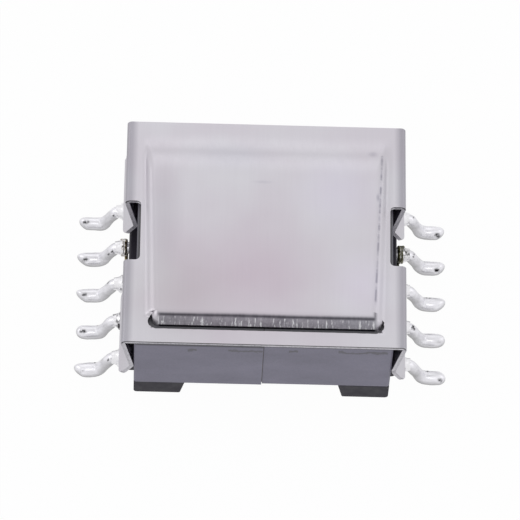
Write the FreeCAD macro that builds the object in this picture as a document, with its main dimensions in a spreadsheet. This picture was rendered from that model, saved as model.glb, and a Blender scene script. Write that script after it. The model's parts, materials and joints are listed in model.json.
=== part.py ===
import FreeCAD, Part
import math
import os
import re

from FreeCAD import Rotation, Vector
from Sketcher import Constraint

# Surface-mount flyback transformer, millimetres.
# X runs along the winding axis, from one row of terminals to the other. The core halves meet at X = 0.
# Y runs along the terminal rows, and -Y is the front. Z = 0 is the plane of the solder pads,
# so the flats under the ten feet lie in it.

doc = FreeCAD.newDocument("flyback_transformer")
sheet = doc.addObject("Spreadsheet::Sheet", "Sizes")

SIZES = [
    ("core_reach", 7.5, "each core half, from the seam to its back"),
    ("core_width", 15.0, "core across the outer legs"),
    ("core_height", 4.65, "core from underside to top"),
    ("yoke_depth", 2.0, "back wall of a core half"),
    ("outer_leg_width", 2.0, "outer leg"),
    ("window_width", 2.85, "room for the coil between centre leg and outer leg"),
    ("leg_headroom", 2.05, "room for the coil between centre leg and the core's top"),
    ("centre_leg_lift", 0.2, "underside of the centre leg above the core's underside"),
    ("centre_leg_round", 0.45, "rounded edges of the centre leg"),
    ("air_gap", 0.24, "gap ground between the two centre legs"),
    ("core_edge", 0.1, "broken edges of the ferrite"),
    ("core_base", 3.6, "underside of the core above the pads"),
    ("glue_film", 0.04, "adhesive between the outer legs"),
    ("half_offset", 0.08, "how far the halves are glued out of line"),
    ("leg_play", 0.1, "centre leg to coil former"),
    ("tube_wall", 0.4, "coil former's tube"),
    ("flange_thickness", 0.6, "coil former's flange"),
    ("flange_play", 0.15, "flange to the core's back wall"),
    ("flange_side_play", 0.3, "flange to the core's outer legs"),
    ("flange_foot", 0.5, "flange's lower edge above the block's underside"),
    ("flange_top_play", 0.1, "flange's upper edge below the core's top"),
    ("flange_round", 0.5, "corner of the flange"),
    ("rail_play", 0.02, "core resting on the rail"),
    ("rail_depth", 1.33, "rail under the core"),
    ("rail_end_inset", 0.08, "rail's end inside the core's side"),
    ("rail_foot_inset", 3.0, "rail end, measured back from the core's end"),
    ("rail_foot_slant", 0.28, "slant of the rail end's inner face"),
    ("rail_foot_round", 0.22, "lower corners of the rail end"),
    ("block_reach", 0.5, "terminal block beyond the core's end"),
    ("block_margin", 0.5, "terminal block beyond the last terminal's middle"),
    ("block_depth", 0.95, "terminal block below the rail"),
    ("block_round", 0.3, "lower outer corner of the terminal block"),
    ("groove_width", 0.84, "wire groove under the block"),
    ("groove_depth", 0.5, "wire groove under the block, roof above its mouth"),
    ("groove_rise", 0.95, "how much higher the groove is at the flange"),
    ("mark_diameter", 0.7, "dimple that marks the first terminal"),
    ("mark_depth", 0.15, "dimple that marks the first terminal"),
    ("terminal_pitch", 2.5, "terminal spacing"),
    ("terminal_count", 5, "terminals on each side"),
    ("pin_diameter", 0.73, "round terminal wire with its tin"),
    ("pin_in_block", 0.6, "wire centre above the block's underside"),
    ("pin_bury", 1.7, "length moulded into the block"),
    ("root_length", 1.1, "from the block to where the root's line meets the slanted stretch"),
    ("slant_run", 0.77, "reach of the slanted stretch"),
    ("foot_length", 1.18, "from the slanted stretch to the foot's tip"),
    ("bend_radius", 0.42, "bend at the root, which the solder stays clear of"),
    ("foot_press", 0.02, "flat pressed under the foot"),
    ("tip_edge", 0.13, "broken edge at the foot's end"),
    ("turn_tape", 0.06, "each layer of insulating tape"),
    ("primary_inner_build", 0.3, "first half of the primary"),
    ("auxiliary_build", 0.14, "auxiliary winding"),
    ("secondary_build", 0.38, "secondary winding"),
    ("primary_outer_build", 0.28, "second half of the primary"),
    ("wrap_build", 0.1, "tape round the finished coil"),
    ("layer_play", 0.005, "between one layer and the next"),
    ("end_play", 0.06, "tape to flange, each end"),
    ("margin", 0.35, "bare margin at each end of a winding"),
    ("lead_diameter", 0.21, "enamelled wire of a lead-out"),
    ("lead_spread", 0.36, "between two lead-outs in one groove"),
    ("wrap_pitch", 0.22, "one turn round the terminal"),
    ("wrap_start", 0.06, "first turn, out from the block"),
    ("solder_stop", 0.05, "straight root left bare before the bend"),
    ("solder_rim", 0.03, "solder left at the end of the cone"),
    ("sheet_thickness", 0.25, "sheet of the cover"),
    ("cover_inset", 0.075, "cover's front and back edges inside the core's sides"),
    ("cover_shift", -0.05, "cover towards the front"),
    ("leg_lean", 8.3, "spring leg from upright, degrees"),
    ("leg_drop", 2.75, "pinch line below the cover's underside"),
    ("lip_length", 1.36, "flared lip of a spring leg"),
    ("lip_flare", 30.0, "lip from upright, degrees"),
    ("lip_round", 0.4, "rounded corner of the lip"),
    ("bend_inside", 0.2, "inside radius of the cover's bends"),
    ("notch_width", 3.98, "side cut-out between two spring legs"),
    ("notch_bite", 0.2, "side cut-out's inner edge, measured back from the core's end"),
    ("notch_round", 0.3, "inner corners of the side cut-out"),
    ("panel_rise", 0.45, "raised panel above the plate"),
    ("panel_shift", 0.07, "panel's middle to the right"),
    ("panel_front_margin", 1.275, "plate's front edge to the foot of the panel's front wall"),
    ("panel_back_margin", 1.125, "plate's back edge to the foot of the panel's back slope"),
    ("panel_front_inset", 0.47, "core's end to the panel's foot, front"),
    ("panel_back_inset", 0.42, "core's end to the panel's foot, back"),
    ("panel_front_run", 0.39, "run of the panel's front wall"),
    ("panel_side_run", 0.6, "run of the panel's side slopes"),
    ("panel_back_run", 0.85, "run of the panel's back slope"),
    ("panel_corner", 0.75, "plan corners of the panel"),
    ("panel_edge", 0.28, "rounding of the panel's upper edge"),
    ("slot_shift", 0.1, "slot's middle to the right"),
    ("slot_inset", 0.65, "core's end to the slot's end"),
    ("slot_margin", 0.89, "plate's front edge to the slot"),
    ("slot_width", 0.955, "slot in front of the raised panel, at its ends"),
]

for line, (alias, value, note) in enumerate(SIZES, start=1):
    sheet.set(f"A{line}", note)
    sheet.set(f"B{line}", str(value))
    sheet.setAlias(f"B{line}", alias)
doc.recompute()

ALIAS = re.compile(r"\b(" + "|".join(alias for alias, value, note in SIZES) + r")\b")


def cells(text):
    """Point each size named in an expression at its cell."""
    return ALIAS.sub(r"Sizes.\1", text)


def measure(text):
    """The present value of an expression of sizes."""
    return float(sheet.evalExpression(cells(text)))


# Places that several pieces share, each as an expression of sizes.
CORE_TOP = "(core_base + core_height)"
LEG_BASE = "(core_base + centre_leg_lift)"
CENTRE_WIDTH = "(core_width - 2 * outer_leg_width - 2 * window_width)"
CENTRE_HEIGHT = "(core_height - centre_leg_lift - leg_headroom)"
COIL_AXIS = f"({LEG_BASE} + {CENTRE_HEIGHT} / 2)"
TUBE_HOLE_WIDTH = f"({CENTRE_WIDTH} + 2 * leg_play)"
TUBE_HOLE_HEIGHT = f"({CENTRE_HEIGHT} + 2 * leg_play)"
TUBE_WIDTH = f"({TUBE_HOLE_WIDTH} + 2 * tube_wall)"
TUBE_HEIGHT = f"({TUBE_HOLE_HEIGHT} + 2 * tube_wall)"
TUBE_ROUND = "(centre_leg_round + leg_play + tube_wall)"
FLANGE_OUTER = "(core_reach - yoke_depth - flange_play)"
FLANGE_INNER = f"({FLANGE_OUTER} - flange_thickness)"
RAIL_TOP = "(core_base - rail_play)"
RAIL_BASE = f"({RAIL_TOP} - rail_depth)"
BLOCK_BASE = f"({RAIL_BASE} - block_depth)"
BLOCK_END = "(core_reach + block_reach)"
ROW_HALF = "(terminal_pitch * (terminal_count - 1) / 2)"
PIN_HEIGHT = f"({BLOCK_BASE} + pin_in_block)"
FOOT_HEIGHT = "(pin_diameter / 2 - foot_press)"
BEND_START = f"({BLOCK_END} + root_length)"
BEND_END = f"({BEND_START} + slant_run)"
PIN_REACH = f"({BEND_END} + foot_length)"
PIN_TURN = f"atan(({PIN_HEIGHT} - {FOOT_HEIGHT}) / slant_run)"
ROOT_END = f"({BEND_START} - bend_radius * tan({PIN_TURN} / 2))"
LEAD_HEIGHT = f"({PIN_HEIGHT} - pin_diameter / 2 - lead_diameter / 2)"
COVER_HALF = "(core_width / 2 - cover_inset)"
NOTCH_REACH = "(core_reach - notch_bite)"


def new_body(name):
    body = doc.addObject("PartDesign::Body", name)
    body.Label = name
    return body


def place(body, **offsets):
    """Bind the body's place: x, y and z are expressions of sizes."""
    for axis, text in offsets.items():
        body.setExpression(f"Placement.Base.{axis}", cells(text))


def plane(body, role):
    return next(feature for feature in body.Origin.OriginFeatures if feature.Role == role)


def new_sketch(body, name, role="XY_Plane", lift=None):
    """A sketch on one of the body's own planes, lifted along that plane's normal."""
    sketch = body.newObject("Sketcher::SketchObject", name)
    sketch.AttachmentSupport = (plane(body, role), "")
    sketch.MapMode = "FlatFace"
    if lift is not None:
        sketch.setExpression("AttachmentOffset.Base.z", cells(lift))
    return sketch


def pin_point(sketch, geometry, position, x_text, y_text):
    """Hold one point of a sketch at two expressions."""
    for kind, axis, text in (("DistanceX", -2, x_text), ("DistanceY", -1, y_text)):
        if text == "0":
            sketch.addConstraint(Constraint("PointOnObject", geometry, position, axis))
            continue
        value = measure(text)
        held = sketch.addConstraint(Constraint(kind, -1, 1, geometry, position, value))
        sketch.setExpression(f"Constraints[{held}]", cells(text))


def outline(sketch, corners, closed=True):
    """Straight sides between corners (x, y) or (x, y, radius), rounded by tangent arcs where a radius is given."""
    points = [Vector(measure(corner[0]), measure(corner[1]), 0) for corner in corners]
    marks = []
    for corner, point in zip(corners, points):
        mark = sketch.addGeometry(Part.Point(point), True)
        pin_point(sketch, mark, 1, corner[0], corner[1])
        marks.append(mark)

    count = len(corners)
    cuts = []
    for index, corner in enumerate(corners):
        if len(corner) < 3:
            cuts.append((points[index], points[index]))
            continue
        back = (points[index - 1] - points[index]).normalize()
        ahead = (points[(index + 1) % count] - points[index]).normalize()
        length = measure(corner[2]) / math.tan(back.getAngle(ahead) / 2)
        cuts.append((points[index] + back * length, points[index] + ahead * length))

    sides = []
    for index in range(count if closed else count - 1):
        after = (index + 1) % count
        side = sketch.addGeometry(Part.LineSegment(cuts[index][1], cuts[after][0]), False)
        for end, mark, rounded in ((1, marks[index], len(corners[index]) > 2),
                                   (2, marks[after], len(corners[after]) > 2)):
            if rounded:
                sketch.addConstraint(Constraint("PointOnObject", mark, 1, side))
            else:
                sketch.addConstraint(Constraint("Coincident", mark, 1, side, end))
        sides.append(side)

    for index, corner in enumerate(corners):
        if len(corner) < 3:
            continue
        radius = measure(corner[2])
        start, end = cuts[index]
        inward = ((start + end) * 0.5 - points[index]).normalize()
        middle = points[index] + inward * math.hypot(radius, (start - points[index]).Length)
        turning_left = (points[index] - start).cross(end - points[index]).z > 0
        first, last = (start, end) if turning_left else (end, start)
        angles = [math.atan2(point.y - middle.y, point.x - middle.x) for point in (first, last)]
        arc = sketch.addGeometry(Part.ArcOfCircle(Part.Circle(middle, Vector(0, 0, 1), radius), *angles), False)
        ends = (1, 2) if turning_left else (2, 1)
        sketch.addConstraint(Constraint("Tangent", sides[index - 1], 2, arc, ends[0]))
        sketch.addConstraint(Constraint("Tangent", arc, ends[1], sides[index], 1))
        held = sketch.addConstraint(Constraint("Radius", arc, radius))
        sketch.setExpression(f"Constraints[{held}]", cells(corner[2]))


def rectangle(sketch, width, height, radius=None, middle_y="0"):
    """A rectangle centred on the sketch's vertical axis."""
    rounding = () if radius is None else (radius,)
    corners = [(f"{side} * {width} / 2", f"{middle_y} + {end} * {height} / 2") + rounding
               for side, end in ((-1, -1), (1, -1), (1, 1), (-1, 1))]
    outline(sketch, corners)


def circle(sketch, diameter, x_text="0", y_text="0"):
    middle = Vector(measure(x_text), measure(y_text), 0)
    ring = sketch.addGeometry(Part.Circle(middle, Vector(0, 0, 1), measure(diameter) / 2), False)
    pin_point(sketch, ring, 3, x_text, y_text)
    held = sketch.addConstraint(Constraint("Diameter", ring, measure(diameter)))
    sketch.setExpression(f"Constraints[{held}]", cells(diameter))


def octagon(sketch, width, x_text, y_text):
    """A thin wire's section, flat on eight sides."""
    reach = f"{width} / 2 / cos(22.5 deg)"
    outline(sketch, [(f"{x_text} + {reach} * cos({turn} deg)", f"{y_text} + {reach} * sin({turn} deg)")
                     for turn in (22.5 + 45 * step for step in range(8))])


def settle(feature):
    """Work the model out again and stop at a feature that can't be made."""
    doc.recompute()
    if "Invalid" in feature.State or "Error" in feature.State or feature.Shape.isNull():
        raise RuntimeError(f"{feature.Name} failed: {feature.State}")
    return feature


def pad(sketch, name, length, both_ways=False, reverse=False, kind="Pad"):
    """Extrude a sketch, or cut it out with kind Pocket."""
    body = sketch.getParentGeoFeatureGroup()
    feature = body.newObject(f"PartDesign::{kind}", name)
    feature.Profile = sketch
    feature.SideType = "Symmetric" if both_ways else "One side"
    feature.Reversed = reverse
    feature.setExpression("Length", cells(length))
    return settle(feature)


def cut(sketch, name, length, both_ways=False, reverse=False):
    """Cut a sketch out of the body, and make sure that it took something away."""
    before = sketch.getParentGeoFeatureGroup().Shape.Volume
    feature = pad(sketch, name, length, both_ways, reverse, kind="Pocket")
    if not feature.Shape.Volume < before:
        raise RuntimeError(f"{name} cuts nothing")
    return feature


def pipe(profile, spine, name):
    """Sweep a section along a path of straight stretches, mitred where they meet."""
    body = profile.getParentGeoFeatureGroup()
    feature = body.newObject("PartDesign::AdditivePipe", name)
    feature.Profile = profile
    feature.Spine = (spine, [])
    feature.Transition = "Right corner"
    return settle(feature)


def loft(first, last, name, kind="AdditiveLoft"):
    body = first.getParentGeoFeatureGroup()
    feature = body.newObject(f"PartDesign::{kind}", name)
    feature.Profile = first
    feature.Sections = [last]
    feature.Ruled = True
    return settle(feature)


def mirror(body, name, role, features=None):
    """Mirror features, or the whole body so far when none are named."""
    feature = body.newObject("PartDesign::Mirrored", name)
    if features is None:
        feature.TransformMode = "Whole shape"
    else:
        feature.Originals = features
    feature.MirrorPlane = (plane(body, role), "")
    body.Tip = feature
    return settle(feature)


def along_row(body, name, features, length, count):
    """Repeat features along Y."""
    feature = body.newObject("PartDesign::LinearPattern", name)
    feature.Originals = features
    feature.Direction = (plane(body, "Y_Axis"), "")
    feature.setExpression("Length", cells(length))
    feature.setExpression("Occurrences", cells(count))
    body.Tip = feature
    return settle(feature)


def round_edges(body, name, radius, chosen, kind="Fillet"):
    """Round, or chamfer, the edges of the body's tip that the test picks."""
    base = body.Tip
    names = [f"Edge{number}" for number, edge in enumerate(base.Shape.Edges, start=1) if chosen(edge)]
    if not names:
        raise RuntimeError(f"{name} finds no edges")
    feature = body.newObject(f"PartDesign::{kind}", name)
    feature.Base = (base, names)
    feature.setExpression("Radius" if kind == "Fillet" else "Size", cells(radius))
    return settle(feature)


# Ferrite core: two like halves, each a back wall with two outer legs and a flat, lowered centre leg.

def make_core_half(name, side):
    body = new_body(name)
    frame = new_sketch(body, f"{name}_frame")
    back, face = "-core_reach", "-glue_film / 2"
    outside, inside = "core_width / 2", "(core_width / 2 - outer_leg_width)"
    outline(frame, [
        (back, f"-{outside}"), (face, f"-{outside}"), (face, f"-{inside}"),
        (f"{back} + yoke_depth", f"-{inside}"), (f"{back} + yoke_depth", inside),
        (face, inside), (face, outside), (back, outside),
    ])
    pad(frame, f"{name}_legs", "core_height")

    # The broken edges run along the outside of the back wall and of both legs.
    def outer_edge(edge):
        low, high = edge.BoundBox.XMin, edge.BoundBox.XMax
        at_back = abs(high + measure("core_reach")) < 0.01
        at_side = abs(abs(edge.BoundBox.Center.y) - measure(outside)) < 0.01 and high - low > 1
        return at_back or at_side

    round_edges(body, f"{name}_broken", "core_edge", outer_edge, kind="Chamfer")

    centre = new_sketch(body, f"{name}_centre", "YZ_Plane", "-core_reach + yoke_depth / 2")
    rectangle(centre, CENTRE_WIDTH, CENTRE_HEIGHT, "centre_leg_round", f"centre_leg_lift + {CENTRE_HEIGHT} / 2")
    pad(centre, f"{name}_centre_leg", "core_reach - yoke_depth / 2 - air_gap / 2")

    place(body, y=f"{side} * half_offset / 2", z="core_base")
    body.Placement.Rotation = Rotation(Vector(0, 0, 1), 0 if side < 0 else 180)
    return body


def make_core_glue():
    """Adhesive film between the outer legs, one patch on each side of the coil."""
    body = new_body("core_glue")
    film = new_sketch(body, "glue_outline", "YZ_Plane", "-glue_film / 2")
    margin = "(half_offset / 2 + core_edge)"
    inner, outer = f"(core_width / 2 - outer_leg_width + {margin})", f"(core_width / 2 - {margin})"
    base, top = "core_base + core_edge", f"{CORE_TOP} - core_edge"
    for side in ("-1", "1"):
        outline(film, [(f"{side} * {inner}", base), (f"{side} * {outer}", base),
                       (f"{side} * {outer}", top), (f"{side} * {inner}", top)])
    pad(film, "glue", "glue_film")
    return body


# Coil former: a tube round the centre leg, a flange at each end, and under each back wall of the core
# a rail that carries a deeper block with five terminals.

def make_coil_former():
    body = new_body("coil_former")

    tube = new_sketch(body, "tube_outline", "YZ_Plane")
    rectangle(tube, TUBE_WIDTH, TUBE_HEIGHT, TUBE_ROUND, COIL_AXIS)
    pad(tube, "tube", f"2 * {FLANGE_INNER} + flange_thickness", both_ways=True)

    flange = new_sketch(body, "flange_outline", "YZ_Plane", FLANGE_INNER)
    side = "(core_width / 2 - outer_leg_width - flange_side_play)"
    low, high = f"({BLOCK_BASE} + flange_foot)", f"({CORE_TOP} - flange_top_play)"
    outline(flange, [(f"-{side}", low), (side, low), (side, high, "flange_round"), (f"-{side}", high, "flange_round")])
    pad(flange, "flange", "flange_thickness")

    rail = new_sketch(body, "rail_outline", "XZ_Plane")
    outline(rail, [(FLANGE_INNER, RAIL_BASE), ("core_reach", RAIL_BASE, "rail_foot_round"),
                   ("core_reach", RAIL_TOP), (FLANGE_OUTER, RAIL_TOP), (FLANGE_OUTER, f"{RAIL_TOP} - rail_depth / 2"),
                   (FLANGE_INNER, f"{RAIL_TOP} - rail_depth / 2")])
    pad(rail, "rail", f"2 * {side}", both_ways=True)

    foot = new_sketch(body, "rail_end_outline", "XZ_Plane", f"{side} - flange_side_play")
    inner = "(core_reach - rail_foot_inset)"
    outline(foot, [(f"{inner} + rail_foot_slant", RAIL_BASE, "rail_foot_round / 2"),
                   ("core_reach", RAIL_BASE, "rail_foot_round"), ("core_reach", RAIL_TOP), (inner, RAIL_TOP)])
    foot_pad = pad(foot, "rail_end", f"core_width / 2 - rail_end_inset - {side} + flange_side_play")
    mirror(body, "rail_other_end", "XZ_Plane", [foot_pad])

    block = new_sketch(body, "block_outline", "XZ_Plane")
    outline(block, [(FLANGE_OUTER, BLOCK_BASE, "block_round"), (BLOCK_END, BLOCK_BASE, "block_round"),
                    (BLOCK_END, RAIL_TOP, "block_round / 2"), (FLANGE_OUTER, RAIL_TOP)])
    pad(block, "terminal_block", f"2 * ({ROW_HALF} + block_margin)", both_ways=True)

    # Wires leave the coil through notches in the flange and run out along grooves under the block.
    groove = new_sketch(body, "groove_outline", "XZ_Plane", f"{ROW_HALF} - terminal_pitch / 2")
    roof = f"{BLOCK_BASE} + groove_depth"
    outline(groove, [(f"{FLANGE_INNER} - end_play", f"{BLOCK_BASE} - block_depth"),
                     (f"{BLOCK_END} + block_reach", f"{BLOCK_BASE} - block_depth"),
                     (f"{BLOCK_END} + block_reach", roof), (f"{FLANGE_OUTER} + block_reach", roof),
                     (f"{FLANGE_OUTER} - flange_thickness / 2", f"{roof} + groove_rise"),
                     (f"{FLANGE_INNER} - end_play", f"{roof} + groove_rise")])
    groove_cut = cut(groove, "wire_groove", "groove_width", both_ways=True)
    along_row(body, "wire_grooves", [groove_cut], f"2 * {ROW_HALF} - terminal_pitch", "terminal_count - 1")

    seat = new_sketch(body, "seat_outline", "YZ_Plane", BLOCK_END)
    circle(seat, "pin_diameter", f"-{ROW_HALF}", PIN_HEIGHT)
    seat_cut = cut(seat, "terminal_seat", "pin_bury")
    along_row(body, "terminal_seats", [seat_cut], f"2 * {ROW_HALF}", "terminal_count")

    mirror(body, "other_side", "YZ_Plane")

    window = new_sketch(body, "core_window", "YZ_Plane")
    rectangle(window, TUBE_HOLE_WIDTH, TUBE_HOLE_HEIGHT, "centre_leg_round + leg_play", COIL_AXIS)
    cut(window, "core_hole", "3 * core_reach", both_ways=True)

    # A dimple under the rail end marks the first terminal.
    mark = new_sketch(body, "mark_outline", "XY_Plane", RAIL_BASE)
    circle(mark, "mark_diameter", "-(core_reach - rail_foot_inset / 2)", f"{ROW_HALF} + terminal_pitch / 2")
    cut(mark, "first_terminal_mark", "mark_depth", reverse=True)
    return body


# Terminals: round tinned wire, bent down from the block to a foot that is flat underneath
# and turned up at its tip.

def terminal_name(number):
    return f"terminal_{number}"


def row_place(number):
    """Side and place along the row: 1 to 5 run down the left side, 6 to 10 back up the right."""
    per_side = int(measure("terminal_count"))
    left = number <= per_side
    step = number - 1 if left else 2 * per_side - number
    return left, f"{ROW_HALF} - {step} * terminal_pitch"


def set_on_row(body, number):
    left, along = row_place(number)
    body.Placement.Rotation = Rotation(Vector(0, 0, 1), 180 if left else 0)
    place(body, y=along)


def make_terminal(number):
    name = terminal_name(number)
    body = new_body(name)
    wire = new_sketch(body, f"{name}_path", "XZ_Plane")
    outline(wire, [
        (f"{BLOCK_END} - pin_bury", PIN_HEIGHT), (BEND_START, PIN_HEIGHT),
        (BEND_END, FOOT_HEIGHT), (PIN_REACH, FOOT_HEIGHT),
    ], closed=False)
    section = new_sketch(body, f"{name}_section", "YZ_Plane", f"{BLOCK_END} - pin_bury")
    circle(section, "pin_diameter", "0", PIN_HEIGHT)
    pipe(section, wire, f"{name}_wire")

    reach = measure(PIN_REACH)
    round_edges(body, f"{name}_tip", "tip_edge", lambda edge: edge.BoundBox.XMin > reach - 0.2, kind="Chamfer")

    pressed = new_sketch(body, f"{name}_underside")
    beyond = f"{PIN_REACH} + pin_diameter"
    outline(pressed, [(BLOCK_END, "-pin_diameter"), (beyond, "-pin_diameter"),
                      (beyond, "pin_diameter"), (BLOCK_END, "pin_diameter")])
    cut(pressed, f"{name}_flat", "pin_diameter")
    set_on_row(body, number)
    return body


# Lead-outs: a winding's wire comes through the flange, runs along its groove, and ends in two turns
# round the terminal's root, drawn into a cone of solder.

def make_lead_out(number, groove_side):
    name = f"lead_out_{number}"
    body = new_body(name)
    beside = f"{groove_side} * (terminal_pitch - lead_spread) / 2"
    joint = f"({FLANGE_OUTER} + block_reach)"

    drop = new_sketch(body, f"{name}_drop_path", "XZ_Plane", f"-1 * {beside}")
    outline(drop, [
        (f"{FLANGE_INNER} + end_play", f"{LEAD_HEIGHT} + groove_rise"),
        (FLANGE_OUTER, LEAD_HEIGHT),
        (joint, LEAD_HEIGHT),
    ], closed=False)
    drop_section = new_sketch(body, f"{name}_drop_section", "YZ_Plane", joint)
    octagon(drop_section, "lead_diameter", beside, LEAD_HEIGHT)
    pipe(drop_section, drop, f"{name}_drop")

    turns_middle = f"({BLOCK_END} + wrap_start + wrap_pitch)"
    run = new_sketch(body, f"{name}_run_path", "XY_Plane", LEAD_HEIGHT)
    outline(run, [
        (joint, beside), (turns_middle, beside), (turns_middle, "0"),
    ], closed=False)
    run_section = new_sketch(body, f"{name}_run_section", "YZ_Plane", joint)
    octagon(run_section, "lead_diameter", beside, LEAD_HEIGHT)
    pipe(run_section, run, f"{name}_run")

    turns = new_sketch(body, f"{name}_turns_outline", "XZ_Plane")
    start = f"({BLOCK_END} + wrap_start)"
    seat_top = f"({PIN_HEIGHT} + pin_diameter / 2)"
    wire_top = f"({seat_top} + lead_diameter)"
    cone = f"({start} + 2 * wrap_pitch)"
    solder_end = f"({ROOT_END} - solder_stop)"
    outline(turns, [
        (start, seat_top), (start, wire_top), (cone, wire_top),
        (solder_end, f"{seat_top} + solder_rim"), (solder_end, seat_top),
    ])
    ends = [Vector(measure(x), measure(PIN_HEIGHT), 0) for x in ("0", PIN_REACH)]
    axis = turns.addGeometry(Part.LineSegment(*ends), True)
    pin_point(turns, axis, 1, "0", PIN_HEIGHT)
    pin_point(turns, axis, 2, PIN_REACH, PIN_HEIGHT)
    wrap = body.newObject("PartDesign::Revolution", f"{name}_turns")
    wrap.Profile = turns
    wrap.ReferenceAxis = (turns, ["Axis0"])
    wrap.Angle = 360
    settle(wrap)
    set_on_row(body, number)
    return body


# Coil: four windings with insulating tape between them and round the outside,
# each a sleeve that starts where the layer under it ends.

LAYERS = [
    ("primary_winding_inner", "primary_inner_build", "margin"),
    ("primary_tape", "turn_tape", "0"),
    ("auxiliary_winding", "auxiliary_build", "3 * margin"),
    ("auxiliary_tape", "turn_tape", "0"),
    ("secondary_winding", "secondary_build", "margin"),
    ("secondary_tape", "turn_tape", "0"),
    ("primary_winding_outer", "primary_outer_build", "margin"),
    ("outer_tape", "wrap_build", "0"),
]


def make_layer(name, build, margin, under):
    body = new_body(name)
    ring = new_sketch(body, f"{name}_section", "YZ_Plane")
    inside, outside = f"({under} + layer_play)", f"({under} + {build})"
    for distance in (inside, outside):
        rectangle(ring, f"({TUBE_WIDTH} + 2 * {distance})", f"({TUBE_HEIGHT} + 2 * {distance})",
                  f"{TUBE_ROUND} + {distance}", COIL_AXIS)
    pad(ring, f"{name}_sleeve", f"2 * ({FLANGE_INNER} - end_play - {margin})", both_ways=True)
    return body


# Cover: one folded sheet. A plate over the core with a raised panel and a slot in front of it,
# and on each side two spring legs that pinch the core's ends and flare out into a lip.

def make_cover_clip():
    body = new_body("cover_clip")
    lean, flare = "leg_lean * 1 deg", "lip_flare * 1 deg"
    half_turn = f"({lean} + {flare}) / 2"
    skew = f"({flare} - {lean}) / 2"

    # Inside corners: under the bend, at the pinch line and at the lip's edge. Local Z = 0 is the plate's underside.
    inner = [
        (f"(core_reach + leg_drop * tan({lean}))", "0"),
        ("core_reach", "(-leg_drop)"),
        (f"(core_reach + lip_length * sin({flare}))", f"(-leg_drop - lip_length * cos({flare}))"),
    ]
    # Outside corners: the same, one sheet thickness away.
    outer = [
        (f"({inner[0][0]} + sheet_thickness * tan((90 deg + {lean}) / 2))", "sheet_thickness"),
        (f"({inner[1][0]} + sheet_thickness * cos({skew}) / cos({half_turn}))",
         f"({inner[1][1]} + sheet_thickness * sin({skew}) / cos({half_turn}))"),
        (f"({inner[2][0]} + sheet_thickness * cos({flare}))", f"({inner[2][1]} + sheet_thickness * sin({flare}))"),
    ]
    wide_bend = "bend_inside + sheet_thickness"

    def side(points, radii, sign):
        return [(f"{sign} * {x}", y) + ((radius,) if radius else ()) for (x, y), radius in zip(points, radii)]

    over = side(outer, (wide_bend, "bend_inside", None), "1")
    under = side(inner, ("bend_inside", wide_bend, None), "1")
    over_left = side(outer, (wide_bend, "bend_inside", None), "-1")
    under_left = side(inner, ("bend_inside", wide_bend, None), "-1")
    folded = new_sketch(body, "folded_sheet", "XZ_Plane")
    outline(folded, over + under[::-1] + under_left + over_left[::-1])
    pad(folded, "sheet", f"2 * {COVER_HALF}", both_ways=True)

    notch = new_sketch(body, "notch_outline")
    outline(notch, [(NOTCH_REACH, "-notch_width / 2", "notch_round"), ("core_reach * 2", "-notch_width / 2"),
                    ("core_reach * 2", "notch_width / 2"), (NOTCH_REACH, "notch_width / 2", "notch_round")])
    notch_cut = cut(notch, "side_notch", "3 * core_height", both_ways=True)
    mirror(body, "other_notch", "YZ_Plane", [notch_cut])

    lip_edge = measure(inner[2][1])

    def lip_corner(edge):
        box = edge.BoundBox
        short = edge.Length < 1.2 * measure("sheet_thickness")
        return short and box.ZMin < lip_edge + 0.01 and box.YLength < 0.01

    round_edges(body, "lip_corners", "lip_round", lip_corner)

    slot = new_sketch(body, "slot_outline")
    slot_half = "(core_reach - slot_inset)"
    slot_front, slot_back = f"(slot_margin - {COVER_HALF})", f"(slot_margin + slot_width - {COVER_HALF})"
    outline(slot, [(f"slot_shift + {side} * {slot_half}", along, "slot_width * 0.49")
                   for side, along in ((-1, slot_front), (1, slot_front), (1, slot_back), (-1, slot_back))])
    cut(slot, "slot", "sheet_thickness", reverse=True)

    def panel_plan(name, lift, inset, run):
        """The panel's outline at one height: inset is the sheet, run is 0 at the foot and 1 at the top."""
        plan = new_sketch(body, name, "XY_Plane", lift)
        front = f"(panel_front_margin + {inset} + {run} * panel_front_run - {COVER_HALF})"
        back = f"({COVER_HALF} - panel_back_margin - 1.5 * {inset} - {run} * panel_back_run)"
        front_half = f"(core_reach - panel_front_inset - {inset} - {run} * panel_side_run)"
        back_half = f"(core_reach - panel_back_inset - {inset} - {run} * panel_side_run)"
        corner = f"panel_corner - {inset} * 0.8"
        outline(plan, [(f"panel_shift - {front_half}", front, corner), (f"panel_shift + {front_half}", front, corner),
                       (f"panel_shift + {back_half}", back, corner), (f"panel_shift - {back_half}", back, corner)])
        return plan

    panel_top = "(sheet_thickness + panel_rise)"
    foot = panel_plan("panel_foot", "0", "0", "0")
    top = panel_plan("panel_top", panel_top, "0", "1")
    loft(foot, top, "panel")

    crest = measure(panel_top)
    round_edges(body, "panel_crest", "panel_edge", lambda edge: edge.BoundBox.ZMin > crest - 0.01)

    hollow_foot = panel_plan("hollow_foot", "0", "sheet_thickness", "0")
    hollow_top = panel_plan("hollow_top", "panel_rise", "sheet_thickness", "1")
    loft(hollow_foot, hollow_top, "panel_hollow", kind="SubtractiveLoft")

    place(body, y="cover_shift", z=CORE_TOP)
    return body


parts = [make_cover_clip(), make_core_half("core_half_left", -1), make_core_half("core_half_right", 1)]
parts += [make_core_glue(), make_coil_former()]

terminal_total = 2 * int(measure("terminal_count"))
for number in range(1, terminal_total + 1):
    parts.append(make_terminal(number))
    # The groove lies towards the middle of the row; the middle terminal shares the groove behind it.
    left, along = row_place(number)
    towards_front = measure(along) > 0.01
    groove_side = 1 if towards_front == left else -1
    parts.append(make_lead_out(number, groove_side))

under = "0"
for name, build, margin in LAYERS:
    parts.append(make_layer(name, build, margin, under))
    under = f"({under} + {build})"

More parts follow.
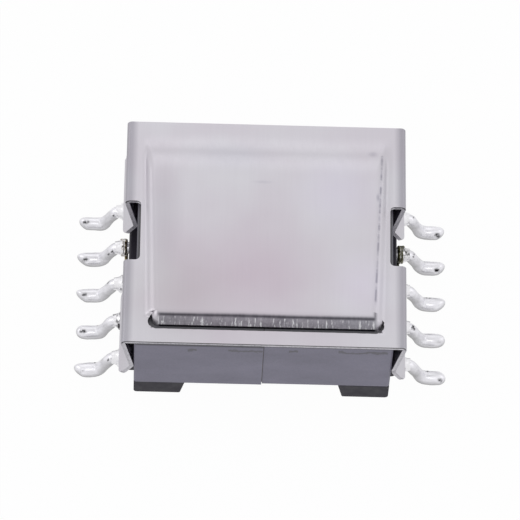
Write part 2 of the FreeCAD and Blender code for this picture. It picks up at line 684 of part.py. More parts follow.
doc.recompute()
for item in doc.Objects:
    if "Invalid" in item.State or "Error" in item.State:
        raise RuntimeError(f"{item.Name} failed: {item.State}")
for body in parts:
    if body.Shape.isNull() or not body.Shape.isValid():
        raise RuntimeError(f"{body.Label} has no valid shape")

os.makedirs("parts", exist_ok=True)
for body in parts:
    body.Shape.exportStep(f"parts/{body.Label}.step")
print(len(parts), "pieces written")
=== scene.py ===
import json
import math

import bpy
import numpy as np
from bpy.props import FloatProperty, FloatVectorProperty, IntProperty, PointerProperty
from mathutils import Matrix, Vector, noise
from mathutils.geometry import delaunay_2d_cdt

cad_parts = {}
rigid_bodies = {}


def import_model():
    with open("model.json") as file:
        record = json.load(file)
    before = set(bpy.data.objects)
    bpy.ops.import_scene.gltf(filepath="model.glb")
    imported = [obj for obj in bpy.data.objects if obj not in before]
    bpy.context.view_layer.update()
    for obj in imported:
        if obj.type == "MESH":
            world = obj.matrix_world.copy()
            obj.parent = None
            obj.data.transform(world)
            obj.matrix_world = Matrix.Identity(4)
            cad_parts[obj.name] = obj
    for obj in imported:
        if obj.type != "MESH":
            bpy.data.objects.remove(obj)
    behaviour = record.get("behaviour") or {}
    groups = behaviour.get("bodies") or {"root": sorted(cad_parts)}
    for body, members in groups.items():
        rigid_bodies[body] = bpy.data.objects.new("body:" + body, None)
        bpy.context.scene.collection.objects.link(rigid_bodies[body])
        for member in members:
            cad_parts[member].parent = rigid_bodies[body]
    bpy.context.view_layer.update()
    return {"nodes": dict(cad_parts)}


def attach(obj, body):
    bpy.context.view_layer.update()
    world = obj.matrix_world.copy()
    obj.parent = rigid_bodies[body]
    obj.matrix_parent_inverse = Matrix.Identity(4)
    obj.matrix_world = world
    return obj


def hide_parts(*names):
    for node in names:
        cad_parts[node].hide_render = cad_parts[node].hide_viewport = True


bl_info = {
    "name": "Flyback transformer looks",
    "version": (1, 0, 0),
    "blender": (4, 5, 0),
    "location": "View3D > Sidebar > Flyback",
    "description": "Dresses the packed frame of a surface-mount flyback transformer",
    "category": "Object",
}

for startup in list(bpy.data.objects):
    bpy.data.objects.remove(startup)
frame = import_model()

# Everything below is worked out in millimetres and turned to metres as a mesh is made.
MM = 0.001


# Colours and shader nodes


def linear(code):
    """An sRGB hex value such as #c8c6cc as linear red, green and blue."""
    parts = [int(code[place:place + 2], 16) / 255 for place in (1, 3, 5)]
    return tuple(part / 12.92 if part <= 0.04045 else ((part + 0.055) / 1.055) ** 2.4 for part in parts)


def shaded(colour, factor):
    return tuple(part * factor for part in colour)


def opaque(colour):
    return (*colour, 1.0)


def per_metre(size_mm):
    """Texture scale that gives features about this many millimetres wide."""
    return 1 / (size_mm * MM)


def add_node(tree, kind, inputs=None, **settings):
    """Add one node, set its fields, and set or link its inputs."""
    node = tree.nodes.new(kind)
    for field, value in settings.items():
        setattr(node, field, value)
    for socket, value in (inputs or {}).items():
        if isinstance(value, bpy.types.NodeSocket):
            tree.links.new(value, node.inputs[socket])
        else:
            node.inputs[socket].default_value = value
    return node


def new_material(name):
    """An empty node material and its tree, which principled or show then finishes."""
    material = bpy.data.materials.new(name)
    material.use_nodes = True
    material.node_tree.nodes.clear()
    return material, material.node_tree


def show(tree, shader, output="ShaderNodeOutputMaterial"):
    add_node(tree, output, {"Surface": shader.outputs[0]})


def principled(tree, inputs):
    show(tree, add_node(tree, "ShaderNodeBsdfPrincipled", inputs))


def place_on(tree):
    """Where each point lies on its object."""
    return add_node(tree, "ShaderNodeTexCoord").outputs["Object"]


def axes_of(tree, vector):
    return add_node(tree, "ShaderNodeSeparateXYZ", {"Vector": vector}).outputs


def mask_of(tree, name):
    """The mask that set_mask stored on the mesh."""
    return add_node(tree, "ShaderNodeAttribute", attribute_name=name).outputs["Fac"]


def noise_on(tree, place, size_mm, detail, roughness=0.5):
    """Noise with features about this many millimetres wide, or as wide as (x, y, z) says."""
    scale = 1.0
    if isinstance(size_mm, tuple):
        sizes = tuple(per_metre(size) for size in size_mm)
        place = add_node(tree, "ShaderNodeMapping", {"Vector": place, "Scale": sizes}).outputs[0]
    else:
        scale = per_metre(size_mm)
    texture = add_node(tree, "ShaderNodeTexNoise", {
        "Vector": place, "Scale": scale, "Detail": detail, "Roughness": roughness})
    return texture.outputs["Fac"]


def calculated(tree, operation, *values):
    return add_node(tree, "ShaderNodeMath", dict(enumerate(values)), operation=operation).outputs[0]


def ranged(tree, value, start, end, low=0.0, high=1.0, **settings):
    """Low where the value is at its start, high where it is at its end, and held there beyond both."""
    node = add_node(tree, "ShaderNodeMapRange", {
        "Value": value, "From Min": start, "From Max": end, "To Min": low, "To Max": high}, **settings)
    return node.outputs[0]


def between(tree, factor, first, second):
    """A number that goes from the first to the second as the factor goes from 0 to 1."""
    return add_node(tree, "ShaderNodeMix", {"Factor": factor, "A": first, "B": second}).outputs["Result"]


def mixed(tree, factor, first, second, blend="MIX"):
    """The same for two colours, each a socket or linear red, green and blue."""
    ends = [end if isinstance(end, bpy.types.NodeSocket) else opaque(end) for end in (first, second)]
    node = add_node(tree, "ShaderNodeMix", {"Factor": factor, "A": ends[0], "B": ends[1]},
                    data_type="RGBA", blend_type=blend)
    return node.outputs["Result"]


def tinted(tree, base, factor, colour):
    """The base colour multiplied by another as far as the factor says."""
    return mixed(tree, factor, base, colour, "MULTIPLY")


def ramp(tree, value, stops, interpolation="LINEAR"):
    """Colours at rising positions from 0 to 1."""
    node = add_node(tree, "ShaderNodeValToRGB", {"Fac": value})
    node.color_ramp.interpolation = interpolation
    elements = node.color_ramp.elements
    elements[0].position = stops[0][0]
    elements[1].position = stops[-1][0]
    for position, _ in stops[1:-1]:
        elements.new(position)
    for element, (_, colour) in zip(elements, stops):
        element.color = opaque(colour)
    return node.outputs["Color"]


def bumped(tree, height, strength, depth_mm, under=None, **settings):
    """The normal of a surface with this relief, over another relief if there is one."""
    inputs = {"Strength": strength, "Distance": depth_mm * MM, "Height": height}
    if under is not None:
        inputs["Normal"] = under
    return add_node(tree, "ShaderNodeBump", inputs, **settings).outputs["Normal"]


def soft_spot(tree, place, centre, size):
    """A soft patch on the sheet, 1 in the middle and 0 at its rim; centre and half widths in millimetres."""
    shifted = add_node(tree, "ShaderNodeVectorMath", {0: place, 1: (centre[0] * MM, centre[1] * MM, 0.0)},
                       operation="SUBTRACT")
    shrunk = add_node(tree, "ShaderNodeVectorMath", {
        0: shifted.outputs[0], 1: (per_metre(size[0]), per_metre(size[1]), 0.0)}, operation="MULTIPLY")
    reach = add_node(tree, "ShaderNodeVectorMath", {0: shrunk.outputs[0]}, operation="LENGTH")
    return ranged(tree, reach.outputs["Value"], 1.0, 0.0, interpolation_type="SMOOTHSTEP")


# Meshes


def new_mesh(name, points_mm, faces, smooth_angle=40):
    """A mesh object from points in millimetres, shaded smooth but for edges sharper than the angle."""
    mesh = bpy.data.meshes.new(name)
    points = np.asarray(points_mm) * MM
    mesh.from_pydata([tuple(point) for point in points], [], [list(face) for face in faces])
    mesh.validate()
    mesh.update()
    mesh.shade_smooth()
    mesh.set_sharp_from_angle(angle=math.radians(smooth_angle))
    thing = bpy.data.objects.new(name, mesh)
    bpy.context.scene.collection.objects.link(thing)
    return thing


def set_mask(thing, name, values):
    """Store one number for each vertex, for a material to read."""
    layer = thing.data.attributes.new(name, "FLOAT", "POINT")
    layer.data.foreach_set("value", np.asarray(values, dtype=np.float32))


def dress(thing, slot, *materials):
    thing.data.materials.clear()
    for material in materials:
        thing.data.materials.append(material)


def dress_node(node, material):
    """Give a node of the frame its finish and leave its shape alone."""
    body = frame["nodes"][node]
    body.data.materials.clear()
    body.data.materials.append(material)


def bent_line(start, heading, runs, step=0.02):
    """Points along straight and curved runs (length, turn), with the heading at each."""
    lengths = np.cumsum([0.0] + [length for length, turn in runs])
    headings = np.cumsum([heading] + [turn for length, turn in runs])
    count = int(lengths[-1] / step) + 2
    along = np.linspace(0, lengths[-1], count)
    angle = np.interp(along, lengths, headings)
    middle = (angle[1:] + angle[:-1]) / 2
    pace = np.diff(along)
    x = start[0] + np.concatenate([[0], np.cumsum(np.cos(middle) * pace)])
    z = start[1] + np.concatenate([[0], np.cumsum(np.sin(middle) * pace)])
    return along, x, z, angle


def sweep(path, radii, sides=20):
    """A tube along a path with a radius at each point, closed at both ends."""
    path = np.asarray(path, dtype=float)
    tangent = np.gradient(path, axis=0)
    tangent /= np.linalg.norm(tangent, axis=1)[:, None]
    across = np.cross(tangent[0], (0.0, 0.0, 1.0))
    if np.linalg.norm(across) < 1e-6:
        across = np.array((0.0, 1.0, 0.0))
    rings = []
    for point, ahead, radius in zip(path, tangent, radii):
        across = across - ahead * across.dot(ahead)
        across /= np.linalg.norm(across)
        up = np.cross(across, ahead)
        turns = np.arange(sides) * 2 * math.pi / sides
        rings.append(point + radius * (np.outer(np.cos(turns), across) + np.outer(np.sin(turns), up)))
    points = np.concatenate(rings + [path[:1], path[-1:]])
    faces = []
    for ring in range(len(path) - 1):
        for side in range(sides):
            near, far = ring * sides, (ring + 1) * sides
            after = (side + 1) % sides
            faces.append((near + side, near + after, far + after, far + side))
    first, last = len(points) - 2, len(points) - 1
    end = (len(path) - 1) * sides
    for side in range(sides):
        after = (side + 1) % sides
        faces.append((first, after, side))
        faces.append((last, end + side, end + after))
    return points, faces


def lumps(points, size_mm, seed):
    """Smooth noise from -1 to 1 at each point."""
    shift = Vector((seed * 7.3, seed * 3.1, seed * 5.7))
    return np.array([noise.noise(Vector(point) / size_mm + shift) for point in points])


def directions(steps):
    """Each step as a direction of length 1."""
    return steps / np.maximum(np.linalg.norm(steps, axis=1), 1e-6)[:, None]


def smooth_lower(first, second, width):
    """The lower of two heights, with the corner between them rounded over a width."""
    share = np.clip(0.5 + 0.5 * (second - first) / width, 0, 1)
    return second * (1 - share) + first * share - width * share * (1 - share)


def smooth_step(low, high, value):
    share = np.clip((value - low) / (high - low), 0, 1)
    return share * share * (3 - 2 * share)


# Settings


def colour_field(label, purpose, code):
    return FloatVectorProperty(name=label, description=purpose, subtype="COLOR", default=linear(code),
                               min=0, max=1)


def length_field(label, purpose, size_mm):
    return FloatProperty(name=label, description=purpose, default=size_mm * MM, unit="LENGTH", precision=5)


def angle_field(label, purpose, degrees):
    return FloatProperty(name=label, description=purpose, default=math.radians(degrees), subtype="ANGLE")


class CoverSettings(bpy.types.PropertyGroup):
    """Sizes and colours of the pressed cover"""

    gauge: length_field("Sheet", "Thickness of the sheet", 0.25)
    panel_rise: length_field("Panel rise", "Raised panel above the plate", 0.45)
    colour: colour_field("Plating", "Colour of the plated sheet", "#c6c4ca")
    edge_colour: colour_field("Sheared edge", "Colour of the cut edges", "#c6c4ca")


class CoreSettings(bpy.types.PropertyGroup):
    """Colours of the ferrite and its adhesive"""

    colour: colour_field("Ferrite", "Fired ferrite", "#6b687b")
    stain: colour_field("Varnish", "Varnish run and chips under the cover's edge", "#3b3944")
    grain: length_field("Grain", "Width of the ferrite's grain as drawn", 0.1)


class FormerSettings(bpy.types.PropertyGroup):
    """Colour of the coil former"""

    colour: colour_field("Moulding", "Black moulded phenolic", "#201c29")


class CoilSettings(bpy.types.PropertyGroup):
    """Colours of the windings and their tape"""

    tape: colour_field("Tape", "Polyester tape round the coil", "#d9a938")
    copper: colour_field("Enamelled wire", "Enamelled copper of the windings", "#a8562a")


class TerminalSettings(bpy.types.PropertyGroup):
    """Finish of the ten terminals"""

    colour: colour_field("Tin", "Dipped tin on the terminals", "#eeedf2")
    lump: length_field("Lumps", "How far the tin stands up in lumps", 0.035)
    seed: IntProperty(name="Seed", description="Changes the lumps of every terminal", default=3, min=0)


class StageSettings(bpy.types.PropertyGroup):
    """Camera, floor and light"""

    lens: FloatProperty(name="Lens", description="Focal length", default=301.93, unit="CAMERA")
    elevation: angle_field("Elevation", "Camera above the horizon", 60.3)
    azimuth: angle_field("Azimuth", "Camera round from the front", -2.498)
    roll: angle_field("Roll", "Camera turned about its own line of sight", 3.625)
    floor: colour_field("Floor", "Plain pale floor", "#f4f4f6")
    ambient: FloatProperty(name="Room light", description="Even light from all round", default=0.62, min=0)


# Cover

# Real sizes of the pressed sheet, in millimetres.
CORE_END = 7.5
PLATE_BASE = 8.25
COVER_FRONT, COVER_BACK = -7.475, 7.375
LEG_DROP, LEG_LEAN = 2.75, math.radians(10.8)
LIP_LENGTH, LIP_FLARE, LIP_ROUND = 1.36, math.radians(30.0), 0.4
BEND_INSIDE = 0.05
NOTCH_HALF, NOTCH_INNER, NOTCH_ROUND, NOTCH_MIDDLE = 1.99, 7.3, 0.3, -0.05
SLOT_LEFT, SLOT_RIGHT, SLOT_FRONT, SLOT_WIDTH = -6.75, 6.95, -6.585, 0.955
PANEL_MIDDLE, PANEL_HALF_FRONT, PANEL_HALF_BACK = 0.02, 6.86, 7.14
BACK_FOOT, BACK_RUN = 5.9, 1.3
SIDE_RUN_FRONT, SIDE_RUN_BACK = 0.5, 0.3
# The drawn wall in front of the panel: its foot, its depth up to the crest, its slope as far as it is
# straight, and how it stops at both ends.
WALL_FOOT, WALL_RUN, WALL_SLOPE, WALL_STRAIGHT = -6.22, 0.7, 2.1, 0.27
WALL_MIDDLE, WALL_HALF, WALL_CORNER = 0.15, 6.57, 0.28
WALL_FADE_START, WALL_FADE_END = 0.04, 0.21
WALL_END_RUN, WALL_END_DROP = 0.33, 0.25
# Beyond the wall's ends the panel comes down in a plain slope, set back from the wall.
PLAIN_START, PLAIN_RUN = 0.45, 0.35
# Widths over which one slope turns into the next.
SLOPE_ROUND, CREST_ROUND, WALL_ROUND = 0.3, 0.22, 0.1
# The slot's back edge lies this far behind the wall's foot, and its front edge is ragged.
SLOT_LAND, SLOT_BURR, SLOT_BURR_LENGTH = 0.03, 0.012, 0.3
# A pressed sheet is never quite flat: the plate bows by a few hundredths over a few millimetres.
PLATE_BOW, PLATE_BOW_LENGTH = 0.012, 4.5

# Spacing of the sheet's points: its outline, its flat parts, and as (from, to, step) where it bends.
BORDER_STEP, FLAT_STEP, CLEAR_OF_EDGE = 0.06, 0.26, 0.022
SIDE_SLOPES = (5.9, 7.0, 0.07)
WALL_ROWS, BACK_ROWS = (-6.7, -5.3, 0.045), (5.0, 6.2, 0.08)
BEND_WIDTH, BEND_STEP, LIP_STEP = 0.6, 0.05, 0.07
BURR_WIDTH = 0.025


def fold_line(gauge):
    """The sheet's middle line from the plate's centre out over the leg to the lip: runs and total length."""
    half = gauge / 2
    lean_turn = math.pi / 2 + LEG_LEAN
    flare_turn = LEG_LEAN + LIP_FLARE
    skew = (LIP_FLARE - LEG_LEAN) / 2
    radius = BEND_INSIDE + half
    top = np.array((CORE_END + LEG_DROP * math.tan(LEG_LEAN) + half * math.tan(lean_turn / 2), half))
    pinch = np.array((CORE_END, -LEG_DROP)) + half / math.cos(flare_turn / 2) * np.array(
        (math.cos(skew), math.sin(skew)))
    lip = np.array((CORE_END, -LEG_DROP))
    lip = lip + LIP_LENGTH * np.array((math.sin(LIP_FLARE), -math.cos(LIP_FLARE)))
    lip += half * np.array((math.cos(LIP_FLARE), math.sin(LIP_FLARE)))
    top_cut, pinch_cut = radius * math.tan(lean_turn / 2), radius * math.tan(flare_turn / 2)
    runs = [
        (top[0] - top_cut, 0.0),
        (radius * lean_turn, -lean_turn),
        (np.linalg.norm(pinch - top) - top_cut - pinch_cut, 0.0),
        (radius * flare_turn, flare_turn),
        (np.linalg.norm(lip - pinch) - pinch_cut, 0.0),
    ]
    return runs, sum(length for length, _ in runs)


def panel_height(x, y, rise, gauge):
    """Height of the sheet's middle over the plate's middle: side and back slopes, and a drawn front wall."""
    share = np.clip((y - WALL_FOOT) / (BACK_FOOT - WALL_FOOT), 0, 1)
    half_width = PANEL_HALF_FRONT + (PANEL_HALF_BACK - PANEL_HALF_FRONT) * share
    side_run = SIDE_RUN_FRONT + (SIDE_RUN_BACK - SIDE_RUN_FRONT) * share
    side = rise * (half_width - np.abs(x - PANEL_MIDDLE)) / side_run
    back = rise * (BACK_FOOT - y) / BACK_RUN
    slopes = smooth_lower(side, back, SLOPE_ROUND)
    slopes = smooth_lower(slopes, np.full_like(slopes, rise), CREST_ROUND)
    slopes = -smooth_lower(-slopes, np.zeros_like(slopes), CREST_ROUND)

    # The sheet is cut along the wall's foot, so the wall goes down past the plate and stops at both ends.
    from_middle = np.abs(x - WALL_MIDDLE)
    drawn = 1 - smooth_step(WALL_HALF + WALL_FADE_START, WALL_HALF + WALL_FADE_END, from_middle)
    inward = y - WALL_FOOT
    crest_drop = (rise + gauge - WALL_SLOPE * WALL_STRAIGHT) / (WALL_RUN - WALL_STRAIGHT) ** 2
    crest = rise - crest_drop * np.maximum(WALL_RUN - inward, 0) ** 2
    wall = smooth_lower(-gauge + WALL_SLOPE * inward, crest, WALL_ROUND)
    past_end = np.clip((from_middle - WALL_HALF + WALL_END_RUN) / WALL_END_RUN, 0, 1)
    wall -= WALL_END_DROP * past_end ** 2 * (y < WALL_FOOT + WALL_RUN)
    plain = smooth_lower(rise * (inward - PLAIN_START) / PLAIN_RUN, np.full_like(inward, rise), WALL_ROUND)
    plain = -smooth_lower(-plain, np.zeros_like(plain), WALL_ROUND)
    front = np.maximum(wall, -gauge) * drawn + plain * (1 - drawn)
    return np.where(y < SLOT_FRONT + 0.02, 0.0, np.minimum(slopes, front))


def slot_outline():
    """The slot, with its back edge along the wall's foot."""
    radius = SLOT_WIDTH / 2
    middle = SLOT_FRONT + radius
    turn = np.linspace(0, math.pi / 2, 14)
    x = np.concatenate([
        SLOT_LEFT + radius - radius * np.cos(turn),
        np.linspace(SLOT_LEFT + radius, SLOT_RIGHT - radius, 150)[1:-1],
        SLOT_RIGHT - radius + radius * np.sin(turn),
    ])
    reach = np.maximum(np.maximum(SLOT_LEFT + radius - x, x - SLOT_RIGHT + radius), 0)
    bow = np.sqrt(np.maximum(radius ** 2 - reach ** 2, 0))
    corner = np.clip(np.abs(x - WALL_MIDDLE) - (WALL_HALF - WALL_CORNER), 0, WALL_CORNER)
    foot = WALL_FOOT + SLOT_LAND + WALL_CORNER - np.sqrt(np.maximum(WALL_CORNER ** 2 - corner ** 2, 0))
    foot = np.where(corner >= WALL_CORNER, middle + bow, foot)
    high = np.minimum(middle + bow, foot)
    low = middle - bow
    ragged = lumps([(value, 0, 0) for value in x], SLOT_BURR_LENGTH, 5) * SLOT_BURR
    front_edge = [(value, edge + shift) for value, edge, shift in zip(x, low, ragged)]
    back_edge = [(value, edge) for value, edge in zip(x[::-1], high[::-1])]
    return front_edge + back_edge[1:-1]


def rounded(corners, radius, count=7):
    """Corners (x, y) in order, each replaced by an arc where its radius isn't zero."""
    result = []
    for place, (corner, size) in enumerate(zip(corners, radius)):
        corner = np.array(corner)
        if size == 0:
            result.append(corner)
            continue
        back = np.array(corners[place - 1]) - corner
        ahead = np.array(corners[(place + 1) % len(corners)]) - corner
        back, ahead = back / np.linalg.norm(back), ahead / np.linalg.norm(ahead)
        middle = corner + (back + ahead) * size
        for turn in np.linspace(0, math.pi / 2, count):
            result.append(middle - ahead * size * math.cos(turn) - back * size * math.sin(turn))
    return result


def walk(corners, step):
    """The closed outline with points added so that none are further apart than the step."""
    result = []
    for first, last in zip(corners, corners[1:] + corners[:1]):
        count = max(1, int(math.ceil(np.linalg.norm(np.array(last) - np.array(first)) / step)))
        for share in range(count):
            result.append(tuple(np.array(first) + (np.array(last) - np.array(first)) * share / count))
    return result


def inside_outline(points, outline):
    """Which of the points lie inside a closed outline."""
    x, y = points[:, 0], points[:, 1]
    inside = np.zeros(len(points), dtype=bool)
    for (x0, y0), (x1, y1) in zip(outline, outline[1:] + outline[:1]):
        if y0 == y1:
            continue
        crosses = (y0 > y) != (y1 > y)
        inside ^= crosses & (x < (x1 - x0) * (y - y0) / (y1 - y0) + x0)
    return inside


def spaced(low, high, stretches):
    """Values from low to high; stretches are (from, to, step) with their own finer step."""
    values = [low]
    while values[-1] < high:
        here = values[-1] + 1e-6
        steps = [fine for start, end, fine in stretches if start - FLAT_STEP <= here <= end]
        values.append(values[-1] + min([FLAT_STEP] + steps))
    return np.array(values[:-1])


def cover_border(reach):
    """Outline of the sheet laid flat: the plate with four rounded legs and two side cut-outs."""
    notch_low, notch_high = NOTCH_MIDDLE - NOTCH_HALF, NOTCH_MIDDLE + NOTCH_HALF
    right = [
        (0.0, COVER_FRONT), (reach, COVER_FRONT), (reach, notch_low), (NOTCH_INNER, notch_low),
        (NOTCH_INNER, notch_high), (reach, notch_high), (reach, COVER_BACK), (0.0, COVER_BACK),
    ]
    rounds = [0, LIP_ROUND, LIP_ROUND, NOTCH_ROUND, NOTCH_ROUND, LIP_ROUND, LIP_ROUND, 0]
    right = rounded(right, rounds)
    left = [(-x, y) for x, y in right[::-1]]
    return walk([tuple(corner) for corner in right + left[1:-1]], BORDER_STEP)


def cover_grid(runs, reach, border, slot):
    """Points inside the flat sheet, closer together where it will bend."""
    bend_start = runs[0][0]
    pinch_start = bend_start + runs[1][0] + runs[2][0]
    columns = spaced(0, reach, [
        (bend_start, bend_start + BEND_WIDTH, BEND_STEP), (pinch_start - 0.1, reach, LIP_STEP), SIDE_SLOPES])
    columns = np.concatenate([-columns[:0:-1], columns])
    rows = spaced(COVER_FRONT, COVER_BACK, [WALL_ROWS, BACK_ROWS])
    grid = np.array([(x, y) for x in columns for y in rows])
    # A few micrometres aside, so that no four points lie on one circle.
    grid[:, 1] += 0.002 * np.sin(grid[:, 0] * 91)
    keep = inside_outline(grid, border) & ~inside_outline(grid, slot)
    for outline in (border, slot):
        marks = np.array(outline)
        for part in np.array_split(np.arange(len(grid)), 40):
            gap = np.linalg.norm(grid[part][:, None] - marks[None], axis=2).min(axis=1)
            keep[part] &= gap > CLEAR_OF_EDGE
    return grid[keep]


def flat_cover(runs, reach):
    """The sheet laid flat, as points and triangles."""
    border = cover_border(reach)
    slot = [tuple(corner) for corner in slot_outline()]
    flat = [Vector(point) for point in border + slot]
    flat += [Vector(point) for point in cover_grid(runs, reach, border, slot)]
    edges = [(place, (place + 1) % len(border)) for place in range(len(border))]
    edges += [(len(border) + place, len(border) + (place + 1) % len(slot)) for place in range(len(slot))]
    points, _, faces, _, _, _ = delaunay_2d_cdt(flat, edges, [], 0, 1e-5)
    points = np.array([tuple(point) for point in points])
    faces = np.array([tuple(face) for face in faces])
    middles = points[faces].mean(axis=1)
    return points, faces[inside_outline(middles, border) & ~inside_outline(middles, slot)]


def folded(points, runs, rise, gauge):
    """The flat sheet's points with the legs bent down and the panel pressed up."""
    along, x, z, _ = bent_line((0, 0), 0, runs, step=0.01)
    over, across = np.abs(points[:, 0]), points[:, 1]
    on_plate = over < runs[0][0]
    folded_x = np.interp(over, along, x) * np.sign(points[:, 0])
    folded_z = np.interp(over, along, z)
    height = np.where(on_plate, panel_height(points[:, 0], across, rise, gauge), 0.0)
    bow = PLATE_BOW * lumps(np.column_stack([points[:, 0], across, 0 * across]), PLATE_BOW_LENGTH, 2)
    bow *= on_plate * smooth_step(0.1, 0.5, height + 0.2)
    return np.column_stack([folded_x, across, PLATE_BASE + gauge / 2 + folded_z + height + bow])


def thicken(cover, gauge):
    """Give the sheet its thickness, and return its points in metres."""
    solid = cover.modifiers.new("sheet", "SOLIDIFY")
    solid.thickness = gauge
    solid.offset = 0
    solid.use_quality_normals = True
    solid.material_offset_rim = 1
    thick = bpy.data.meshes.new_from_object(cover.evaluated_get(bpy.context.evaluated_depsgraph_get()))
    cover.modifiers.clear()
    cover.data = thick
    places = np.zeros(len(thick.vertices) * 3)
    thick.vertices.foreach_get("co", places)
    places = places.reshape(-1, 3)
    # Nothing of the plate dips into the core's top, which lies at the plate's base.
    plate = np.abs(places[:, 0]) < NOTCH_INNER * MM
    places[plate, 2] = np.maximum(places[plate, 2], PLATE_BASE * MM + 2e-6)
    # The sheet was sheared square, so its thickness stays between the two cut sides.
    places[:, 1] = np.clip(places[:, 1], COVER_FRONT * MM, COVER_BACK * MM)
    thick.vertices.foreach_set("co", places.ravel())
    thick.shade_smooth()
    thick.set_sharp_from_angle(angle=math.radians(38))
    return places


def mark_cover(cover, places, bend_start, rise, gauge):
    """Store where the drawn wall, the bends and the sheet's inner face are."""
    x, y, z = (places / MM).T
    crest = PLATE_BASE + gauge + rise
    wall = smooth_step(crest - 0.005, crest - 0.06, z)
    wall = wall * (1 - smooth_step(WALL_HALF - 0.4, WALL_HALF - 0.12, np.abs(x - WALL_MIDDLE)))
    set_mask(cover, "drawn_wall", wall * (y > SLOT_FRONT + 0.1) * (y < WALL_FOOT + WALL_RUN + 0.1))
    # Where the sheet bends, for painted shade in the plating.
    set_mask(cover, "bend_shade", smooth_step(bend_start - 0.36, bend_start, np.abs(x)) * smooth_step(7.3, 7.9, z))
    # Solidify lists one face's points and then the other's: 0 on the outer face and 1 on the inner one.
    half = len(places) // 2
    outer_first = places[:half, 2].mean() > places[half:, 2].mean()
    set_mask(cover, "through", np.repeat([0.0, 1.0] if outer_first else [1.0, 0.0], half))


def build_cover(settings):
    gauge, rise = settings.gauge / MM, settings.panel_rise / MM
    runs, reach = fold_line(gauge)
    points, faces = flat_cover(runs, reach)
    cover = new_mesh("pressed_cover", folded(points, runs, rise, gauge), faces)
    for material in (plated_sheet(settings), sheared_edge(settings)):
        cover.data.materials.append(material)
    places = thicken(cover, settings.gauge)
    mark_cover(cover, places, runs[0][0], rise, gauge)
    edge = cover.modifiers.new("burr", "BEVEL")
    edge.width = BURR_WIDTH * MM
    edge.segments = 2
    edge.limit_method = "ANGLE"
    edge.angle_limit = math.radians(60)
    return cover


# Tints on the plate: the six large soft patches are painted reflection, darker to the left and front and
# lighter to the right; the four small darker spots are scuffs from handling. Centre and half widths in
# millimetres, then the tint.
PLATE_REFLECTIONS_AND_SCUFFS = [
    ((-1.0, -3.2), (7.4, 6.4), (0.9, 0.82, 0.86)),
    ((-5.2, -4.4), (4.4, 4.6), (0.9, 0.89, 0.88)),
    ((-6.0, 0.6), (1.5, 5.4), (0.88, 0.87, 0.88)),
    ((-2.0, 5.0), (3.5, 1.6), (0.93, 0.93, 0.95)),
    ((5.6, -3.6), (2.6, 3.0), (1.05, 1.04, 1.08)),
    ((4.2, 2.6), (3.4, 3.6), (1.03, 1.03, 1.07)),
    ((6.29, 5.42), (0.42, 0.34), (0.82, 0.82, 0.84)),
    ((-0.2, 3.16), (0.9, 0.16), (0.9, 0.9, 0.92)),
    ((6.58, 2.3), (0.16, 0.4), (0.72, 0.72, 0.76)),
    ((6.66, 0.9), (0.1, 0.3), (0.8, 0.8, 0.84)),
]
# The broken crease along the crest of the panel's right slope, bumped and darkened with painted shade: its
# place, slant, half width and half length.
CREASE_X, CREASE_SLANT, CREASE_WIDTH, CREASE_MIDDLE, CREASE_LENGTH = 6.62, 0.043, 0.1, 0.2, 5.1
# Painted shade and reflection in bands down the drawn wall: light towards its foot, dark along the cut edge
# and the crest.
WALL_SHADE_BANDS = [
    (0.14, (0.07, 0.07, 0.08)), (0.2, (1, 1, 1)), (0.81, (0.62, 0.62, 0.63)), (0.9, (0.16, 0.16, 0.17)),
]
WALL_LOW, WALL_HIGH = 8.25, 8.95
BURNISHED = (0.95, 0.95, 0.97)


def wall_finish(tree, place, height, base, on_wall):
    """The drawn wall over the base colour, with painted shade in bands by height: the colour, how dull it
    is, and its streaks.
    """
    # Draw marks about 0.15 mm apart run down the wall.
    streaks = noise_on(tree, place, (0.3, 2.2, 0.5), 4.0, 0.75)
    drawn = tinted(tree, base, on_wall, ramp(tree, streaks, [(0.3, (0.56, 0.56, 0.59)), (0.6, BURNISHED)]))
    # Painted shade and reflection: the wall is tinted in bands by height.
    wall_shade = ramp(tree, ranged(tree, height, WALL_LOW * MM, WALL_HIGH * MM), WALL_SHADE_BANDS)
    with_painted_shade = tinted(tree, drawn, on_wall, wall_shade)
    dull = calculated(tree, "MULTIPLY", ranged(tree, wall_shade, 0.35, 0.85), on_wall)
    # Scores about 0.1 mm wide and 0.5 to 1 mm apart, from the crest to the cut foot.
    scores = ranged(tree, noise_on(tree, place, (0.16, 3.0, 0.8), 3.0, 0.7), 0.55, 0.63, 0.0, 1.2)
    return mixed(tree, calculated(tree, "MULTIPLY", scores, dull), with_painted_shade, BURNISHED), dull, streaks


def crease_on(tree, place, axes):
    """1 on the dashes of the crease and 0 beside them."""
    line = calculated(tree, "MULTIPLY_ADD", axes["Y"], CREASE_SLANT, CREASE_X * MM)
    aside = calculated(tree, "ABSOLUTE", calculated(tree, "SUBTRACT", axes["X"], line))
    near = ranged(tree, aside, CREASE_WIDTH * MM, 0.0)
    dashes = ranged(tree, noise_on(tree, place, (4.0, 0.55, 4.0), 2.0), 0.42, 0.6, 0.15)
    length = calculated(tree, "COMPARE", axes["Y"], CREASE_MIDDLE * MM, CREASE_LENGTH * MM)
    return calculated(tree, "MULTIPLY", calculated(tree, "MULTIPLY", near, dashes), length)


